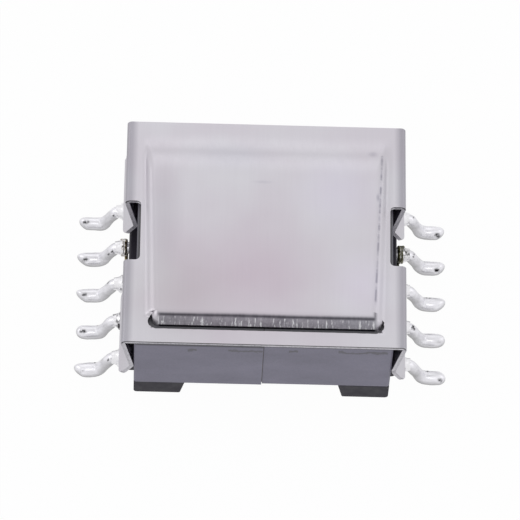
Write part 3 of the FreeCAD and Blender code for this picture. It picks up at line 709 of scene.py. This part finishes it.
def plated_sheet(settings):
    """Tin-plated steel, rolled and then pressed: satin, with grain along the strip and a drawn wall, and
    with painted reflection and painted shade in its colour.
    """
    material, tree = new_material("tin_plated_rolled_steel")
    place = place_on(tree)
    axes = axes_of(tree, place)
    on_wall = mask_of(tree, "drawn_wall")
    # Rolling lines are 2 to 5 micrometres apart; drawn at 0.09 mm, the finest that shows.
    rolling = noise_on(tree, place, (0.09, 3.5, 0.09), 3.0)
    # Plating mottles in patches of about 4 mm.
    mottle = ranged(tree, noise_on(tree, place, 4.2, 2.0), 0.62, 0.36)
    base = tinted(tree, settings.colour, mottle, (0.965, 0.94, 0.955))
    # Painted reflection patches and scuffs, tinted over the plating.
    for centre, size, tint in PLATE_REFLECTIONS_AND_SCUFFS:
        base = tinted(tree, base, soft_spot(tree, place, centre, size), tint)
    crease_and_shade = crease_on(tree, place, axes)
    # Painted shade along the crease's dashes.
    base = tinted(tree, base, crease_and_shade, (0.5, 0.5, 0.55))
    # Painted shade along the bends: the plating is darkened where the sheet was bent.
    base = tinted(tree, base, mask_of(tree, "bend_shade"), (0.68, 0.68, 0.7))
    colour, dull, streaks = wall_finish(tree, place, axes["Z"], base, on_wall)

    satin = ranged(tree, rolling, 0.3, 0.7, 0.33, 0.43)
    relief = bumped(tree, between(tree, on_wall, rolling, streaks), 0.35, 0.006)
    relief = bumped(tree, noise_on(tree, place, 0.35, 4.0), 0.2, 0.01, relief)
    relief = bumped(tree, crease_and_shade, 0.7, 0.03, relief, invert=True)
    principled(tree, {
        "Base Color": colour, "Metallic": calculated(tree, "SUBTRACT", 1.0, dull),
        "Roughness": between(tree, on_wall, satin, 0.5), "Normal": relief})
    return material


def sheared_edge(settings):
    """The sheet's cut edge: bright sheared steel, with a painted shade line along its outer corner on the
    plate.
    """
    material, tree = new_material("sheared_steel_edge")
    place = place_on(tree)
    # Shear lines, drawn 0.12 mm wide.
    shear = noise_on(tree, place, 0.12, 3.0)
    tone = ramp(tree, shear, [(0.32, shaded(settings.edge_colour, 0.72)), (0.55, settings.edge_colour)])
    # Painted shade: the outer half of the cut edge is darkened to a thin line.
    edge_shade = ranged(tree, mask_of(tree, "through"), 0.3, 0.5, 0.16)
    # The painted shade line is left on the plate alone: below it the legs' edges are bright all through.
    on_legs = ranged(tree, axes_of(tree, place)["Z"], 8.3 * MM, 8.15 * MM, 0.0, 0.9)
    unshaded = calculated(tree, "MAXIMUM", edge_shade, on_legs)
    with_painted_shade = add_node(tree, "ShaderNodeVectorMath", {0: tone, "Scale": unshaded}, operation="SCALE")
    principled(tree, {
        "Base Color": with_painted_shade.outputs[0], "Metallic": 0.8, "Roughness": 0.45,
        "Normal": bumped(tree, shear, 0.3, 0.015)})
    return material


# Core, coil former and coil

# Where the varnish marks on the front face start (0.85) and end (0), in millimetres across.
VARNISH_ENDS = [
    (-4.4, 0.85), (-3.9, 0), (-2.1, 0.85), (-0.1, 0), (1.45, 0.85), (1.95, 0), (4.3, 0.85), (7.2, 0),
]
VARNISH_HEIGHT, VARNISH_WAVE = 7.35, 0.75
UNDER_COVER_SHADE = (0.008, 0.008, 0.01)


def varnish_lengths(tree, place, axes):
    """Where the varnish run shows: chosen lengths on the front face, and chance ones on the others."""
    by_chance = ranged(tree, noise_on(tree, place, 1.9, 1.0), 0.5, 0.58, 0.0, 0.75)
    stops = [((across + CORE_END) / (2 * CORE_END), (shown, shown, shown)) for across, shown in VARNISH_ENDS]
    across = ranged(tree, axes["X"], -CORE_END * MM, CORE_END * MM)
    chosen = ramp(tree, across, [(0, (0, 0, 0)), *stops, (0.99, (0, 0, 0))], "CONSTANT")
    at_front = calculated(tree, "LESS_THAN", axes["Y"], 0.0)
    return between(tree, at_front, by_chance, chosen)


def ferrite(settings):
    """Fired manganese-zinc ferrite: fine dark grain, ground matt, with varnish run along its sides and
    painted shade under the cover.
    """
    material, tree = new_material("ground_ferrite")
    place = place_on(tree)
    axes = axes_of(tree, place)
    # The grain is about 0.01 mm; drawn at the width in the settings so that it shows.
    grain = noise_on(tree, place, settings.grain / MM, 5.0, 0.7)
    tone = ramp(tree, grain, [(0.3, shaded(settings.colour, 0.88)), (0.7, shaded(settings.colour, 1.1))])
    # Grinding smeared the surface in cloudy bands that run across.
    smears = noise_on(tree, place, (3.0, 3.0, 1.4), 5.0)
    base = tinted(tree, tone, 1.0, mixed(tree, smears, (0.62, 0.62, 0.67), (1.33, 1.33, 1.31)))
    # Varnish has run along the core about 0.5 mm under its top edge, in short wavy lengths.
    wave = noise_on(tree, place, 0.55, 3.0, 0.6)
    level = calculated(tree, "MULTIPLY_ADD", wave, VARNISH_WAVE * MM, VARNISH_HEIGHT * MM)
    apart = calculated(tree, "ABSOLUTE", calculated(tree, "SUBTRACT", axes["Z"], level))
    line = ranged(tree, apart, 0.16 * MM, 0.06 * MM)
    run = calculated(tree, "MULTIPLY", line, varnish_lengths(tree, place, axes))
    stained = mixed(tree, run, base, settings.stain)
    # Painted shade: the top face, under the cover, and a thin line just under the top edge are made near
    # black.
    under = ranged(tree, axes["Z"], 8.13 * MM, 8.2 * MM, 0.0, 0.85)
    principled(tree, {
        "Base Color": mixed(tree, under, stained, UNDER_COVER_SHADE), "Roughness": 0.55, "IOR": 1.9,
        "Normal": bumped(tree, grain, 0.25, 0.015)})
    return material


def core_adhesive():
    """Cured epoxy between the core's legs: brown, glossy and slightly uneven."""
    material, tree = new_material("cured_epoxy")
    pools = noise_on(tree, place_on(tree), 0.5, 2.0)
    principled(tree, {
        "Base Color": mixed(tree, pools, linear("#3a3230"), linear("#6b5a48")), "Roughness": 0.25,
        "IOR": 1.55, "Normal": bumped(tree, pools, 0.3, 0.02)})
    return material


def moulded_phenolic(settings):
    """Glass-filled phenolic, moulded: near black, semi-matt, with faint flow marks and filler specks."""
    material, tree = new_material("moulded_phenolic")
    place = place_on(tree)
    flow = noise_on(tree, place, (0.6, 2.4, 0.6), 3.0)
    # Glass filler is 0.01 mm across; its specks are drawn 0.07 mm wide.
    specks = noise_on(tree, place, 0.07, 2.0)
    principled(tree, {
        "Base Color": mixed(tree, flow, shaded(settings.colour, 0.7), settings.colour),
        "Roughness": ranged(tree, flow, 0.3, 0.7, 0.5, 0.66), "IOR": 1.45,
        "Normal": bumped(tree, specks, 0.3, 0.012)})
    return material


def polyester_tape(settings):
    """Polyester insulating tape, wound tight: glossy film that shows the turns under it as faint ribs."""
    material, tree = new_material("polyester_insulating_tape")
    place = place_on(tree)
    # The turns under the tape are 0.3 mm apart.
    turns = calculated(tree, "MULTIPLY", axes_of(tree, place)["X"], 2 * math.pi * per_metre(0.3))
    ribs = bumped(tree, calculated(tree, "SINE", turns), 0.35, 0.02)
    creases = noise_on(tree, place, 1.3, 3.0)
    principled(tree, {
        "Base Color": mixed(tree, creases, shaded(settings.tape, 0.72), settings.tape), "Roughness": 0.3,
        "IOR": 1.6, "Coat Weight": 0.4, "Coat Roughness": 0.15,
        "Normal": bumped(tree, creases, 0.4, 0.05, ribs)})
    return material


def wound_copper(settings):
    """Enamelled copper wire wound in close turns: clear brown enamel over bright copper."""
    material, tree = new_material("enamelled_copper_turns")
    # Wire 0.2 mm in diameter, wound side by side.
    turns = calculated(tree, "MULTIPLY", axes_of(tree, place_on(tree))["X"], math.pi * per_metre(0.2))
    crowns = calculated(tree, "ABSOLUTE", calculated(tree, "SINE", turns))
    # Painted shade: the grooves between the turns are darkened to a quarter.
    principled(tree, {
        "Base Color": mixed(tree, crowns, shaded(settings.copper, 0.25), settings.copper), "Metallic": 0.9,
        "Roughness": 0.3, "Coat Weight": 0.6, "Coat Roughness": 0.1,
        "Normal": bumped(tree, crowns, 0.9, 0.08)})
    return material


# Terminals and lead-outs

ROW = [5.0, 2.5, 0.0, -2.5, -5.0]
PIN_RADIUS, PIN_HEIGHT, BLOCK_END = 0.365, 1.9, 8.0
REACH = 11.05
# The pin starts inside its block, goes out level, drops in two bends and ends in a foot with a raised tip.
PIN_START, PIN_TURN, BEND_RADIUS = 6.3, math.radians(61), 0.5
FOOT_SINK, FOOT_LENGTH, TIP_LENGTH = 0.02, 0.66, 0.44
HEEL, HEEL_END, TIP_START = 9.2, 9.8, 10.4
PIN_SIDES, BLUNT_LENGTH = 28, 0.42
PIT_LENGTH, PIT_WIDTH, PIT_DEPTH = 0.2, 0.085, 0.07

# The lead-out's wire and its turns round the pin's root, and the end of the cone of solder over them.
WIRE, WIRE_TURNS, WIRE_SIDES = 0.105, 2.35, 10
COIL_START, COIL_END, CONE_END = BLOCK_END + 0.06 + WIRE, BLOCK_END + 0.46, BLOCK_END + 0.86

# How each terminal of the photo differs, down the left side and down the right, in millimetres:
# the tip's lift, its shift along the row and the slant of its cut; how far the tin swells at the heel;
# the pit, as (reach, towards the front, strength); and flux spots, as (reach, towards the front, size).
LEFT_FEET = [
    (0.10, -0.02, 0.5, 0.10, (10.70, 0.10, 1.0), [(9.02, 0.30, 0.07)]),
    (0.05, 0.01, 0.8, 0.12, (10.72, 0.18, 1.0),
     [(9.02, 0.30, 0.09), (9.25, 0.34, 0.08), (8.8, 0.28, 0.06)]),
    (0.02, -0.02, 0.7, 0.08, (10.68, 0.14, 0.9),
     [(9.22, -0.12, 0.06), (8.72, 0.05, 0.09), (8.66, 0.28, 0.08)]),
    (0.02, 0.00, 0.1, 0.12, (10.64, 0.14, 1.0), [(9.75, -0.28, 0.05)]),
    (0.06, 0.07, 0.6, 0.14, (10.66, 0.26, 0.3),
     [(9.06, 0.19, 0.06), (8.86, 0.18, 0.05), (9.85, -0.3, 0.06)]),
]
RIGHT_FEET = [
    (0.03, 0.04, 0.4, 0.12, (10.68, 0.28, 1.0), [(9.12, -0.05, 0.055), (9.14, 0.41, 0.07)]),
    (0.02, 0.03, 0.5, 0.14, (10.64, 0.26, 1.0), [(9.14, -0.02, 0.05), (9.1, 0.14, 0.05)]),
    (0.08, 0.02, 0.5, 0.14, (10.66, 0.24, 0.15), [(9.95, -0.3, 0.08), (10.15, -0.24, 0.07)]),
    (0.05, 0.00, 0.1, 0.12, (10.70, 0.22, 0.35),
     [(9.05, -0.04, 0.08), (9.1, 0.09, 0.08), (8.97, 0.1, 0.06)]),
    (0.10, 0.02, -0.1, 0.14, (10.69, 0.29, 0.55), [(9.98, -0.3, 0.08)]),
]


def row_point(local, side, row):
    """Turn points drawn for the right row, as reach, along and height, to their terminal."""
    local = np.asarray(local, dtype=float)
    return np.column_stack([local[:, 0] * side, local[:, 1] * side + row, local[:, 2]])


def terminal_number(place, side):
    """Numbers run down the left side from the back and up the right side."""
    return place + 1 if side < 0 else 2 * len(ROW) - place


def terminal_line(lift):
    """The pin's middle line from inside its block to the tip: x, z and the distance left to the end."""
    foot_height = PIN_RADIUS - FOOT_SINK
    slant = (PIN_HEIGHT - foot_height - 2 * BEND_RADIUS * (1 - math.cos(PIN_TURN))) / math.sin(PIN_TURN)
    drop = [
        (0.0, 0.0), (BEND_RADIUS * PIN_TURN, -PIN_TURN), (slant, 0.0), (BEND_RADIUS * PIN_TURN, PIN_TURN),
        (FOOT_LENGTH, 0.0), (TIP_LENGTH, lift * 2),
    ]
    _, x, z, _ = bent_line((0, 0), 0, drop)
    level_run = REACH - PIN_START - x[-1]
    along, x, z, _ = bent_line((PIN_START, PIN_HEIGHT), 0, [(level_run, 0.0)] + drop, step=0.03)
    return x, z, along[-1] - along


def build_terminal(number, side, row, foot, settings):
    lift, shift, skew, swell, pit, flux = foot
    x, z, to_end = terminal_line(lift)
    y = shift * smooth_step(HEEL, 10.8, x)
    blunt = np.sqrt(np.clip(1 - (1 - np.clip(to_end / BLUNT_LENGTH, 0, 1)) ** 2.2, 0.02, 1))
    # The tin is thinnest where the heel starts, and swells along it.
    thinned = 0.06 * np.exp(-((x - HEEL - 0.1) / 0.2) ** 2)
    girth = PIN_RADIUS * (0.98 + (0.06 + swell) * smooth_step(HEEL, HEEL_END, x) - thinned)
    girth *= blunt * (1 - 0.12 * smooth_step(TIP_START - 0.1, REACH, x))
    # Worked out with the front towards +Y, and turned to its row at the end.
    line = np.column_stack([x, y, z])
    points, faces = sweep(line, girth, PIN_SIDES)
    centres = np.concatenate([np.repeat(line, PIN_SIDES, axis=0), line[:1], line[-1:]])
    outward = directions(points - centres)
    seed = settings.seed + number * 1.37
    bare = smooth_step(BLOCK_END + 0.2, HEEL - 0.1, points[:, 0])
    rough = lumps(points, 0.75, seed) + 0.25 * lumps(points, 0.3, seed + 20)
    # The wire was cut at a slant before it was dipped, and a pit was left near the end.
    pit_reach, pit_front, pit_strength = pit
    specks = lumps(points, 0.11, seed + 40)
    near = ((points[:, 0] - pit_reach) / PIT_LENGTH) ** 2
    near += ((points[:, 1] - shift - pit_front) / PIT_WIDTH) ** 2
    dent = np.exp(-near) * (outward[:, 2] > 0) * pit_strength
    points = points + outward * (settings.lump / MM * rough * bare - PIT_DEPTH * dent)[:, None]
    points[:, 0] -= skew * (points[:, 1] - y[-1]) * smooth_step(TIP_START, REACH, points[:, 0])
    points[:, 2] = np.maximum(points[:, 2], 0.0)
    # The pit is painted near black, as painted shade in the dent; the flux spots are dark.
    dark = np.clip(dent * (2.1 + 2.4 * specks) - 0.35, 0, 1)
    for spot_reach, spot_front, size in flux:
        apart = np.hypot(points[:, 0] - spot_reach, points[:, 1] - spot_front) + 0.35 * size * specks
        dark = np.maximum(dark, smooth_step(size * 1.15, size * 0.6, apart) * (outward[:, 2] > 0.3))

    points[:, 1] = row - points[:, 1]
    points[:, 0] *= side
    if side > 0:
        faces = [face[::-1] for face in faces]
    terminal = new_mesh(f"tinned_terminal_{number}", points, faces, 60)
    set_mask(terminal, "pitted", dark)
    return terminal


def dipped_tin(settings):
    """Copper wire dipped in tin: satin, a little wavy, with dark pits and flux spots, and painted shade on
    its underside.
    """
    material, tree = new_material("dipped_tin")
    # The dip leaves ripples about 0.25 mm across that run along the wire.
    ripples = noise_on(tree, place_on(tree), (1.1, 0.25, 0.4), 3.0)
    tone = mixed(tree, ripples, shaded(settings.colour, 0.58), shaded(settings.colour, 1.2))
    # Painted shade: the wire is darkened where it faces down and left bright where it faces up.
    facing = axes_of(tree, add_node(tree, "ShaderNodeNewGeometry").outputs["Normal"])
    tone = tinted(tree, tone, ranged(tree, facing["Z"], 0.55, -0.35), (0.32, 0.32, 0.31))
    principled(tree, {
        "Base Color": mixed(tree, mask_of(tree, "pitted"), tone, linear("#161518")), "Metallic": 1.0,
        "Roughness": ranged(tree, ripples, 0.3, 0.7, 0.3, 0.4), "Normal": bumped(tree, ripples, 0.3, 0.03)})
    return material


def soldered_wire(name, wire, flux, start=0.8):
    """Enamelled wire at a soldered root: tin where the solder took, enamel and browned flux elsewhere."""
    material, tree = new_material(name)
    # Flux dries in patches about 0.2 mm across.
    patches = noise_on(tree, place_on(tree), 0.24, 3.0, 0.65)
    ragged = calculated(tree, "MULTIPLY_ADD", patches, 0.9, mask_of(tree, "tinned"))
    took = ranged(tree, ragged, start, start + 0.2)
    enamel = mixed(tree, ranged(tree, patches, 0.42, 0.6), linear(flux), linear(wire))
    principled(tree, {
        "Base Color": mixed(tree, took, enamel, linear("#e8e7ea")),
        "Metallic": ranged(tree, took, 0.0, 1.0, 0.55), "Roughness": 0.33,
        "Normal": bumped(tree, patches, 0.6, 0.04)})
    return material


def lead_path(groove):
    """The wire's middle line: down from the coil, along its groove and round the pin's root."""
    height = PIN_HEIGHT - PIN_RADIUS - WIRE
    beside = groove * 1.07
    turns = np.linspace(0, WIRE_TURNS * 2 * math.pi, 90)
    around = -math.pi / 2 - groove * turns
    coil_radius = PIN_RADIUS + WIRE * 0.92
    coil = np.column_stack([
        COIL_START + (COIL_END - COIL_START) * turns / turns[-1],
        coil_radius * np.cos(around), PIN_HEIGHT + coil_radius * np.sin(around)])
    lead_in = [
        (4.85, beside, height + 0.95), (5.35, beside, height), (BLOCK_END - 0.1, beside, height),
        (COIL_START, beside * 0.8, height), (COIL_START, beside * 0.4, height),
    ]
    bends = []
    for start, end in zip(lead_in, lead_in[1:]):
        start, end = np.array(start), np.array(end)
        bends += [start + (end - start) * share for share in np.linspace(0, 0.9, 8)]
    path = np.concatenate([np.array(bends), coil])
    for _ in range(3):
        path[1:-1] = (path[:-2] + 2 * path[1:-1] + path[2:]) / 4
    return path


def solder_cone(seed):
    """The cone of solder round the pin in front of the turns."""
    stations = np.linspace(COIL_START - 0.05, CONE_END, 26)
    share = np.clip((stations - COIL_START - 0.1) / (stations[-1] - COIL_START - 0.1), 0, 1)
    risen = smooth_step(COIL_START - 0.05, COIL_START + 0.12, stations)
    girth = PIN_RADIUS + 0.01 + 0.2 * (1 - share) ** 1.6 * risen
    line = np.column_stack([stations, 0 * stations, PIN_HEIGHT + 0 * stations])
    cone, faces = sweep(line, girth, sides=24)
    outward = directions(cone - (0, 0, PIN_HEIGHT) - cone * (1, 0, 0))
    return cone + outward * (0.03 * lumps(cone, 0.3, seed))[:, None], faces


def build_lead_out(number, side, row, groove):
    """The wire from its groove, turned round the pin's root, and the cone of solder that holds it."""
    path = lead_path(groove)
    points, faces = sweep(path, np.full(len(path), WIRE), WIRE_SIDES)
    tinned = np.repeat(smooth_step(BLOCK_END - 0.05, BLOCK_END + 0.3, path[:, 0]) * 0.8, WIRE_SIDES)
    cone, cone_faces = solder_cone(60 + number * 2.1)
    faces = faces + [tuple(corner + len(points) for corner in face) for face in cone_faces]
    cone_tin = 0.35 + 0.65 * smooth_step(COIL_START, BLOCK_END + 0.35, cone[:, 0])
    points = np.concatenate([points, cone])
    lead = new_mesh(f"soldered_lead_{number}", row_point(points, side, row), faces, 60)
    set_mask(lead, "tinned", np.concatenate([tinned, tinned[:1], tinned[-1:], cone_tin]))
    return lead


# Operators


class MakeCover(bpy.types.Operator):
    """Make the pressed cover in place of the frame's plain one"""

    bl_idname = "flyback.make_cover"
    bl_label = "Pressed cover"

    def execute(self, context):
        cover = build_cover(context.scene.flyback_cover)
        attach(cover, "root")
        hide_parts("cover_clip")
        return {"FINISHED"}


class FinishCore(bpy.types.Operator):
    """Give both core halves and their adhesive a finish"""

    bl_idname = "flyback.finish_core"
    bl_label = "Ferrite core"

    def execute(self, context):
        material = ferrite(context.scene.flyback_core)
        for node in ("core_half_left", "core_half_right"):
            dress_node(node, material)
        dress_node("core_glue", core_adhesive())
        return {"FINISHED"}


class FinishFormer(bpy.types.Operator):
    """Give the coil former a finish"""

    bl_idname = "flyback.finish_former"
    bl_label = "Coil former"

    def execute(self, context):
        dress_node("coil_former", moulded_phenolic(context.scene.flyback_former))
        return {"FINISHED"}


class FinishCoil(bpy.types.Operator):
    """Give the windings and their tape a finish"""

    bl_idname = "flyback.finish_coil"
    bl_label = "Windings and tape"

    def execute(self, context):
        settings = context.scene.flyback_coil
        tape = polyester_tape(settings)
        copper = wound_copper(settings)
        for node in ("primary_tape", "auxiliary_tape", "secondary_tape", "outer_tape"):
            dress_node(node, tape)
        for node in ("primary_winding_inner", "primary_winding_outer", "auxiliary_winding",
                     "secondary_winding"):
            dress_node(node, copper)
        return {"FINISHED"}


class MakeTerminals(bpy.types.Operator):
    """Make ten dipped terminals in place of the frame's plain ones"""

    bl_idname = "flyback.make_terminals"
    bl_label = "Terminals"

    def execute(self, context):
        settings = context.scene.flyback_terminals
        tin = dipped_tin(settings)
        for side, feet in ((-1, LEFT_FEET), (1, RIGHT_FEET)):
            for place, (row, foot) in enumerate(zip(ROW, feet)):
                number = terminal_number(place, side)
                terminal = build_terminal(number, side, row, foot, settings)
                dress(terminal, "tinned_wire", tin)
                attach(terminal, "root")
                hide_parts(f"terminal_{number}")
        return {"FINISHED"}


class MakeLeadOuts(bpy.types.Operator):
    """Make ten soldered lead-outs in place of the frame's plain ones"""

    bl_idname = "flyback.make_lead_outs"
    bl_label = "Lead-outs"

    def execute(self, context):
        plain = soldered_wire("tinned_lead", "#d9d5d2", "#b5b0ad")
        golden = soldered_wire("fluxed_enamelled_lead", "#d8c48f", "#3a2b19", 1.12)
        # Leads 4 and 9 are painted with shade: near black for lead 4, where the cover's leg shades its root,
        # and dark olive for lead 9, whose root sits in the rail's shade.
        shadowed_dark = soldered_wire("lead_in_painted_shadow", "#8d8a8c", "#171518", 1.25)
        olive_shaded = soldered_wire("olive_lead_in_painted_shade", "#6d6b4a", "#191a12", 1.3)
        finishes = {2: golden, 4: shadowed_dark, 6: golden, 9: olive_shaded}
        for side in (-1, 1):
            for place, row in enumerate(ROW):
                number = terminal_number(place, side)
                towards_front = row > 0.01
                groove = 1 if towards_front == (side < 0) else -1
                lead = build_lead_out(number, side, row, groove)
                dress(lead, "soldered_lead", finishes.get(number, plain))
                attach(lead, "root")
                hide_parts(f"lead_out_{number}")
        return {"FINISHED"}


class SetStage(bpy.types.Operator):
    """Set the floor, the light and the camera"""

    bl_idname = "flyback.set_stage"
    bl_label = "Stage"

    def execute(self, context):
        scene = context.scene
        settings = scene.flyback_stage
        set_camera(scene, settings)
        set_floor(settings)
        set_world(scene, settings)
        set_lamps()
        scene.view_settings.view_transform = "Standard"
        return {"FINISHED"}


# Stage

# Where the camera stands along its own axes, and how far it is raised, in millimetres.
CAMERA_RIGHT, CAMERA_UP, CAMERA_DISTANCE, CAMERA_RAISED = -0.218, 2.505, 262.631, 0.15
# The floor's half width in metres, its drop in millimetres, and how much of the white background it shows;
# the rest keeps the object's shadow.
FLOOR_REACH, FLOOR_DROP, FLOOR_SHOWN = 3.0, 0.02, 0.975
# Soft boxes over the camera, behind and low on each side: place and width in metres, power in watts.
LAMPS = [
    ("front_box", (0.0, -0.3, 0.64), 0.16, 0.22),
    ("back_box", (-0.1, 0.55, 0.52), 0.4, 0.2),
    ("left_box", (-0.5, 0.1, 0.3), 0.3, 0.3),
    ("right_box", (0.5, 0.1, 0.3), 0.3, 0.15),
]


def set_camera(scene, settings):
    turn, rise, roll = settings.azimuth, settings.elevation, settings.roll
    back = Vector((math.sin(turn) * math.cos(rise), -math.cos(turn) * math.cos(rise), math.sin(rise)))
    right = Vector((math.cos(turn), math.sin(turn), 0))
    up = back.cross(right)
    place = right * CAMERA_RIGHT + up * CAMERA_UP + back * CAMERA_DISTANCE + Vector((0, 0, CAMERA_RAISED))
    across = right * math.cos(roll) + up * math.sin(roll)
    above = up * math.cos(roll) - right * math.sin(roll)
    data = bpy.data.cameras.new("photo_camera")
    data.sensor_fit = "HORIZONTAL"
    data.sensor_width = 36
    data.lens = settings.lens
    data.clip_start = 0.01
    data.clip_end = 20
    camera = bpy.data.objects.new("photo_camera", data)
    scene.collection.objects.link(camera)
    turned = Matrix((across, above, back)).transposed().to_4x4()
    camera.matrix_world = Matrix.Translation(place * MM) @ turned
    scene.camera = camera


def sees_background(tree):
    """1 for camera, glossy and transmission rays, which see the white background itself."""
    path = add_node(tree, "ShaderNodeLightPath").outputs
    seen = calculated(tree, "MAXIMUM", path["Is Camera Ray"], path["Is Glossy Ray"])
    return calculated(tree, "MAXIMUM", seen, path["Is Transmission Ray"])


def set_floor(settings):
    material, tree = new_material("matt_paper_floor")
    # Paper fibre, about 0.5 mm, barely seen.
    fibre = noise_on(tree, place_on(tree), 0.5, 2.0)
    tone = mixed(tree, fibre, shaded(settings.floor, 0.99), settings.floor)
    paper = add_node(tree, "ShaderNodeBsdfDiffuse", {"Color": tone})
    white = add_node(tree, "ShaderNodeEmission", {"Color": (1, 1, 1, 1), "Strength": 1.0})
    share = calculated(tree, "MULTIPLY", sees_background(tree), FLOOR_SHOWN)
    show(tree, add_node(tree, "ShaderNodeMixShader", {0: share, 1: paper.outputs[0], 2: white.outputs[0]}))
    mesh = bpy.data.meshes.new("paper_floor")
    corners = [(x * FLOOR_REACH, y * FLOOR_REACH, 0) for x, y in ((-1, -1), (1, -1), (1, 1), (-1, 1))]
    mesh.from_pydata(corners, [], [(0, 1, 2, 3)])
    floor = bpy.data.objects.new("paper_floor", mesh)
    floor.location.z = -FLOOR_DROP * MM
    bpy.context.scene.collection.objects.link(floor)
    mesh.materials.append(material)


def set_world(scene, settings):
    world = bpy.data.worlds.new("white_room")
    scene.world = world
    world.use_nodes = True
    tree = world.node_tree
    tree.nodes.clear()
    # Even light for matt surfaces; the camera, polished metal and clear parts see the white background.
    even = add_node(tree, "ShaderNodeBackground", {
        "Color": (0.98, 0.98, 1, 1), "Strength": settings.ambient})
    white = add_node(tree, "ShaderNodeBackground", {"Color": (1, 1, 1, 1), "Strength": 1.0})
    surface = add_node(tree, "ShaderNodeMixShader", {
        0: sees_background(tree), 1: even.outputs[0], 2: white.outputs[0]})
    show(tree, surface, "ShaderNodeOutputWorld")


def set_lamps():
    for name, place, width, power in LAMPS:
        data = bpy.data.lights.new(name, "AREA")
        data.shape = "SQUARE"
        data.size = width
        data.energy = power
        lamp = bpy.data.objects.new(name, data)
        lamp.location = place
        lamp.rotation_euler = (-Vector(place)).to_track_quat("-Z", "Y").to_euler()
        bpy.context.scene.collection.objects.link(lamp)


class FlybackPanel(bpy.types.Panel):
    """Lists the pieces and the stage"""

    bl_idname = "VIEW3D_PT_flyback"
    bl_label = "Flyback transformer"
    bl_space_type = "VIEW_3D"
    bl_region_type = "UI"
    bl_category = "Flyback"

    def draw(self, context):
        for operator in OPERATORS:
            self.layout.operator(operator.bl_idname)
        for name in SETTINGS:
            box = self.layout.box()
            group = getattr(context.scene, name)
            for field in group.__annotations__:
                box.prop(group, field)


SETTINGS = {
    "flyback_cover": CoverSettings, "flyback_core": CoreSettings, "flyback_former": FormerSettings,
    "flyback_coil": CoilSettings, "flyback_terminals": TerminalSettings, "flyback_stage": StageSettings,
}
OPERATORS = [SetStage, MakeCover, FinishCore, FinishFormer, FinishCoil, MakeTerminals, MakeLeadOuts]


def register():
    for group in (*SETTINGS.values(), *OPERATORS, FlybackPanel):
        bpy.utils.register_class(group)
    for name, group in SETTINGS.items():
        setattr(bpy.types.Scene, name, PointerProperty(type=group))


def unregister():
    for name in SETTINGS:
        delattr(bpy.types.Scene, name)
    for group in reversed((*SETTINGS.values(), *OPERATORS, FlybackPanel)):
        bpy.utils.unregister_class(group)


def main():
    register()
    bpy.ops.flyback.set_stage()
    bpy.ops.flyback.make_cover()
    bpy.ops.flyback.finish_core()
    bpy.ops.flyback.finish_former()
    bpy.ops.flyback.finish_coil()
    bpy.ops.flyback.make_terminals()
    bpy.ops.flyback.make_lead_outs()


if __name__ == "__main__":
    main()
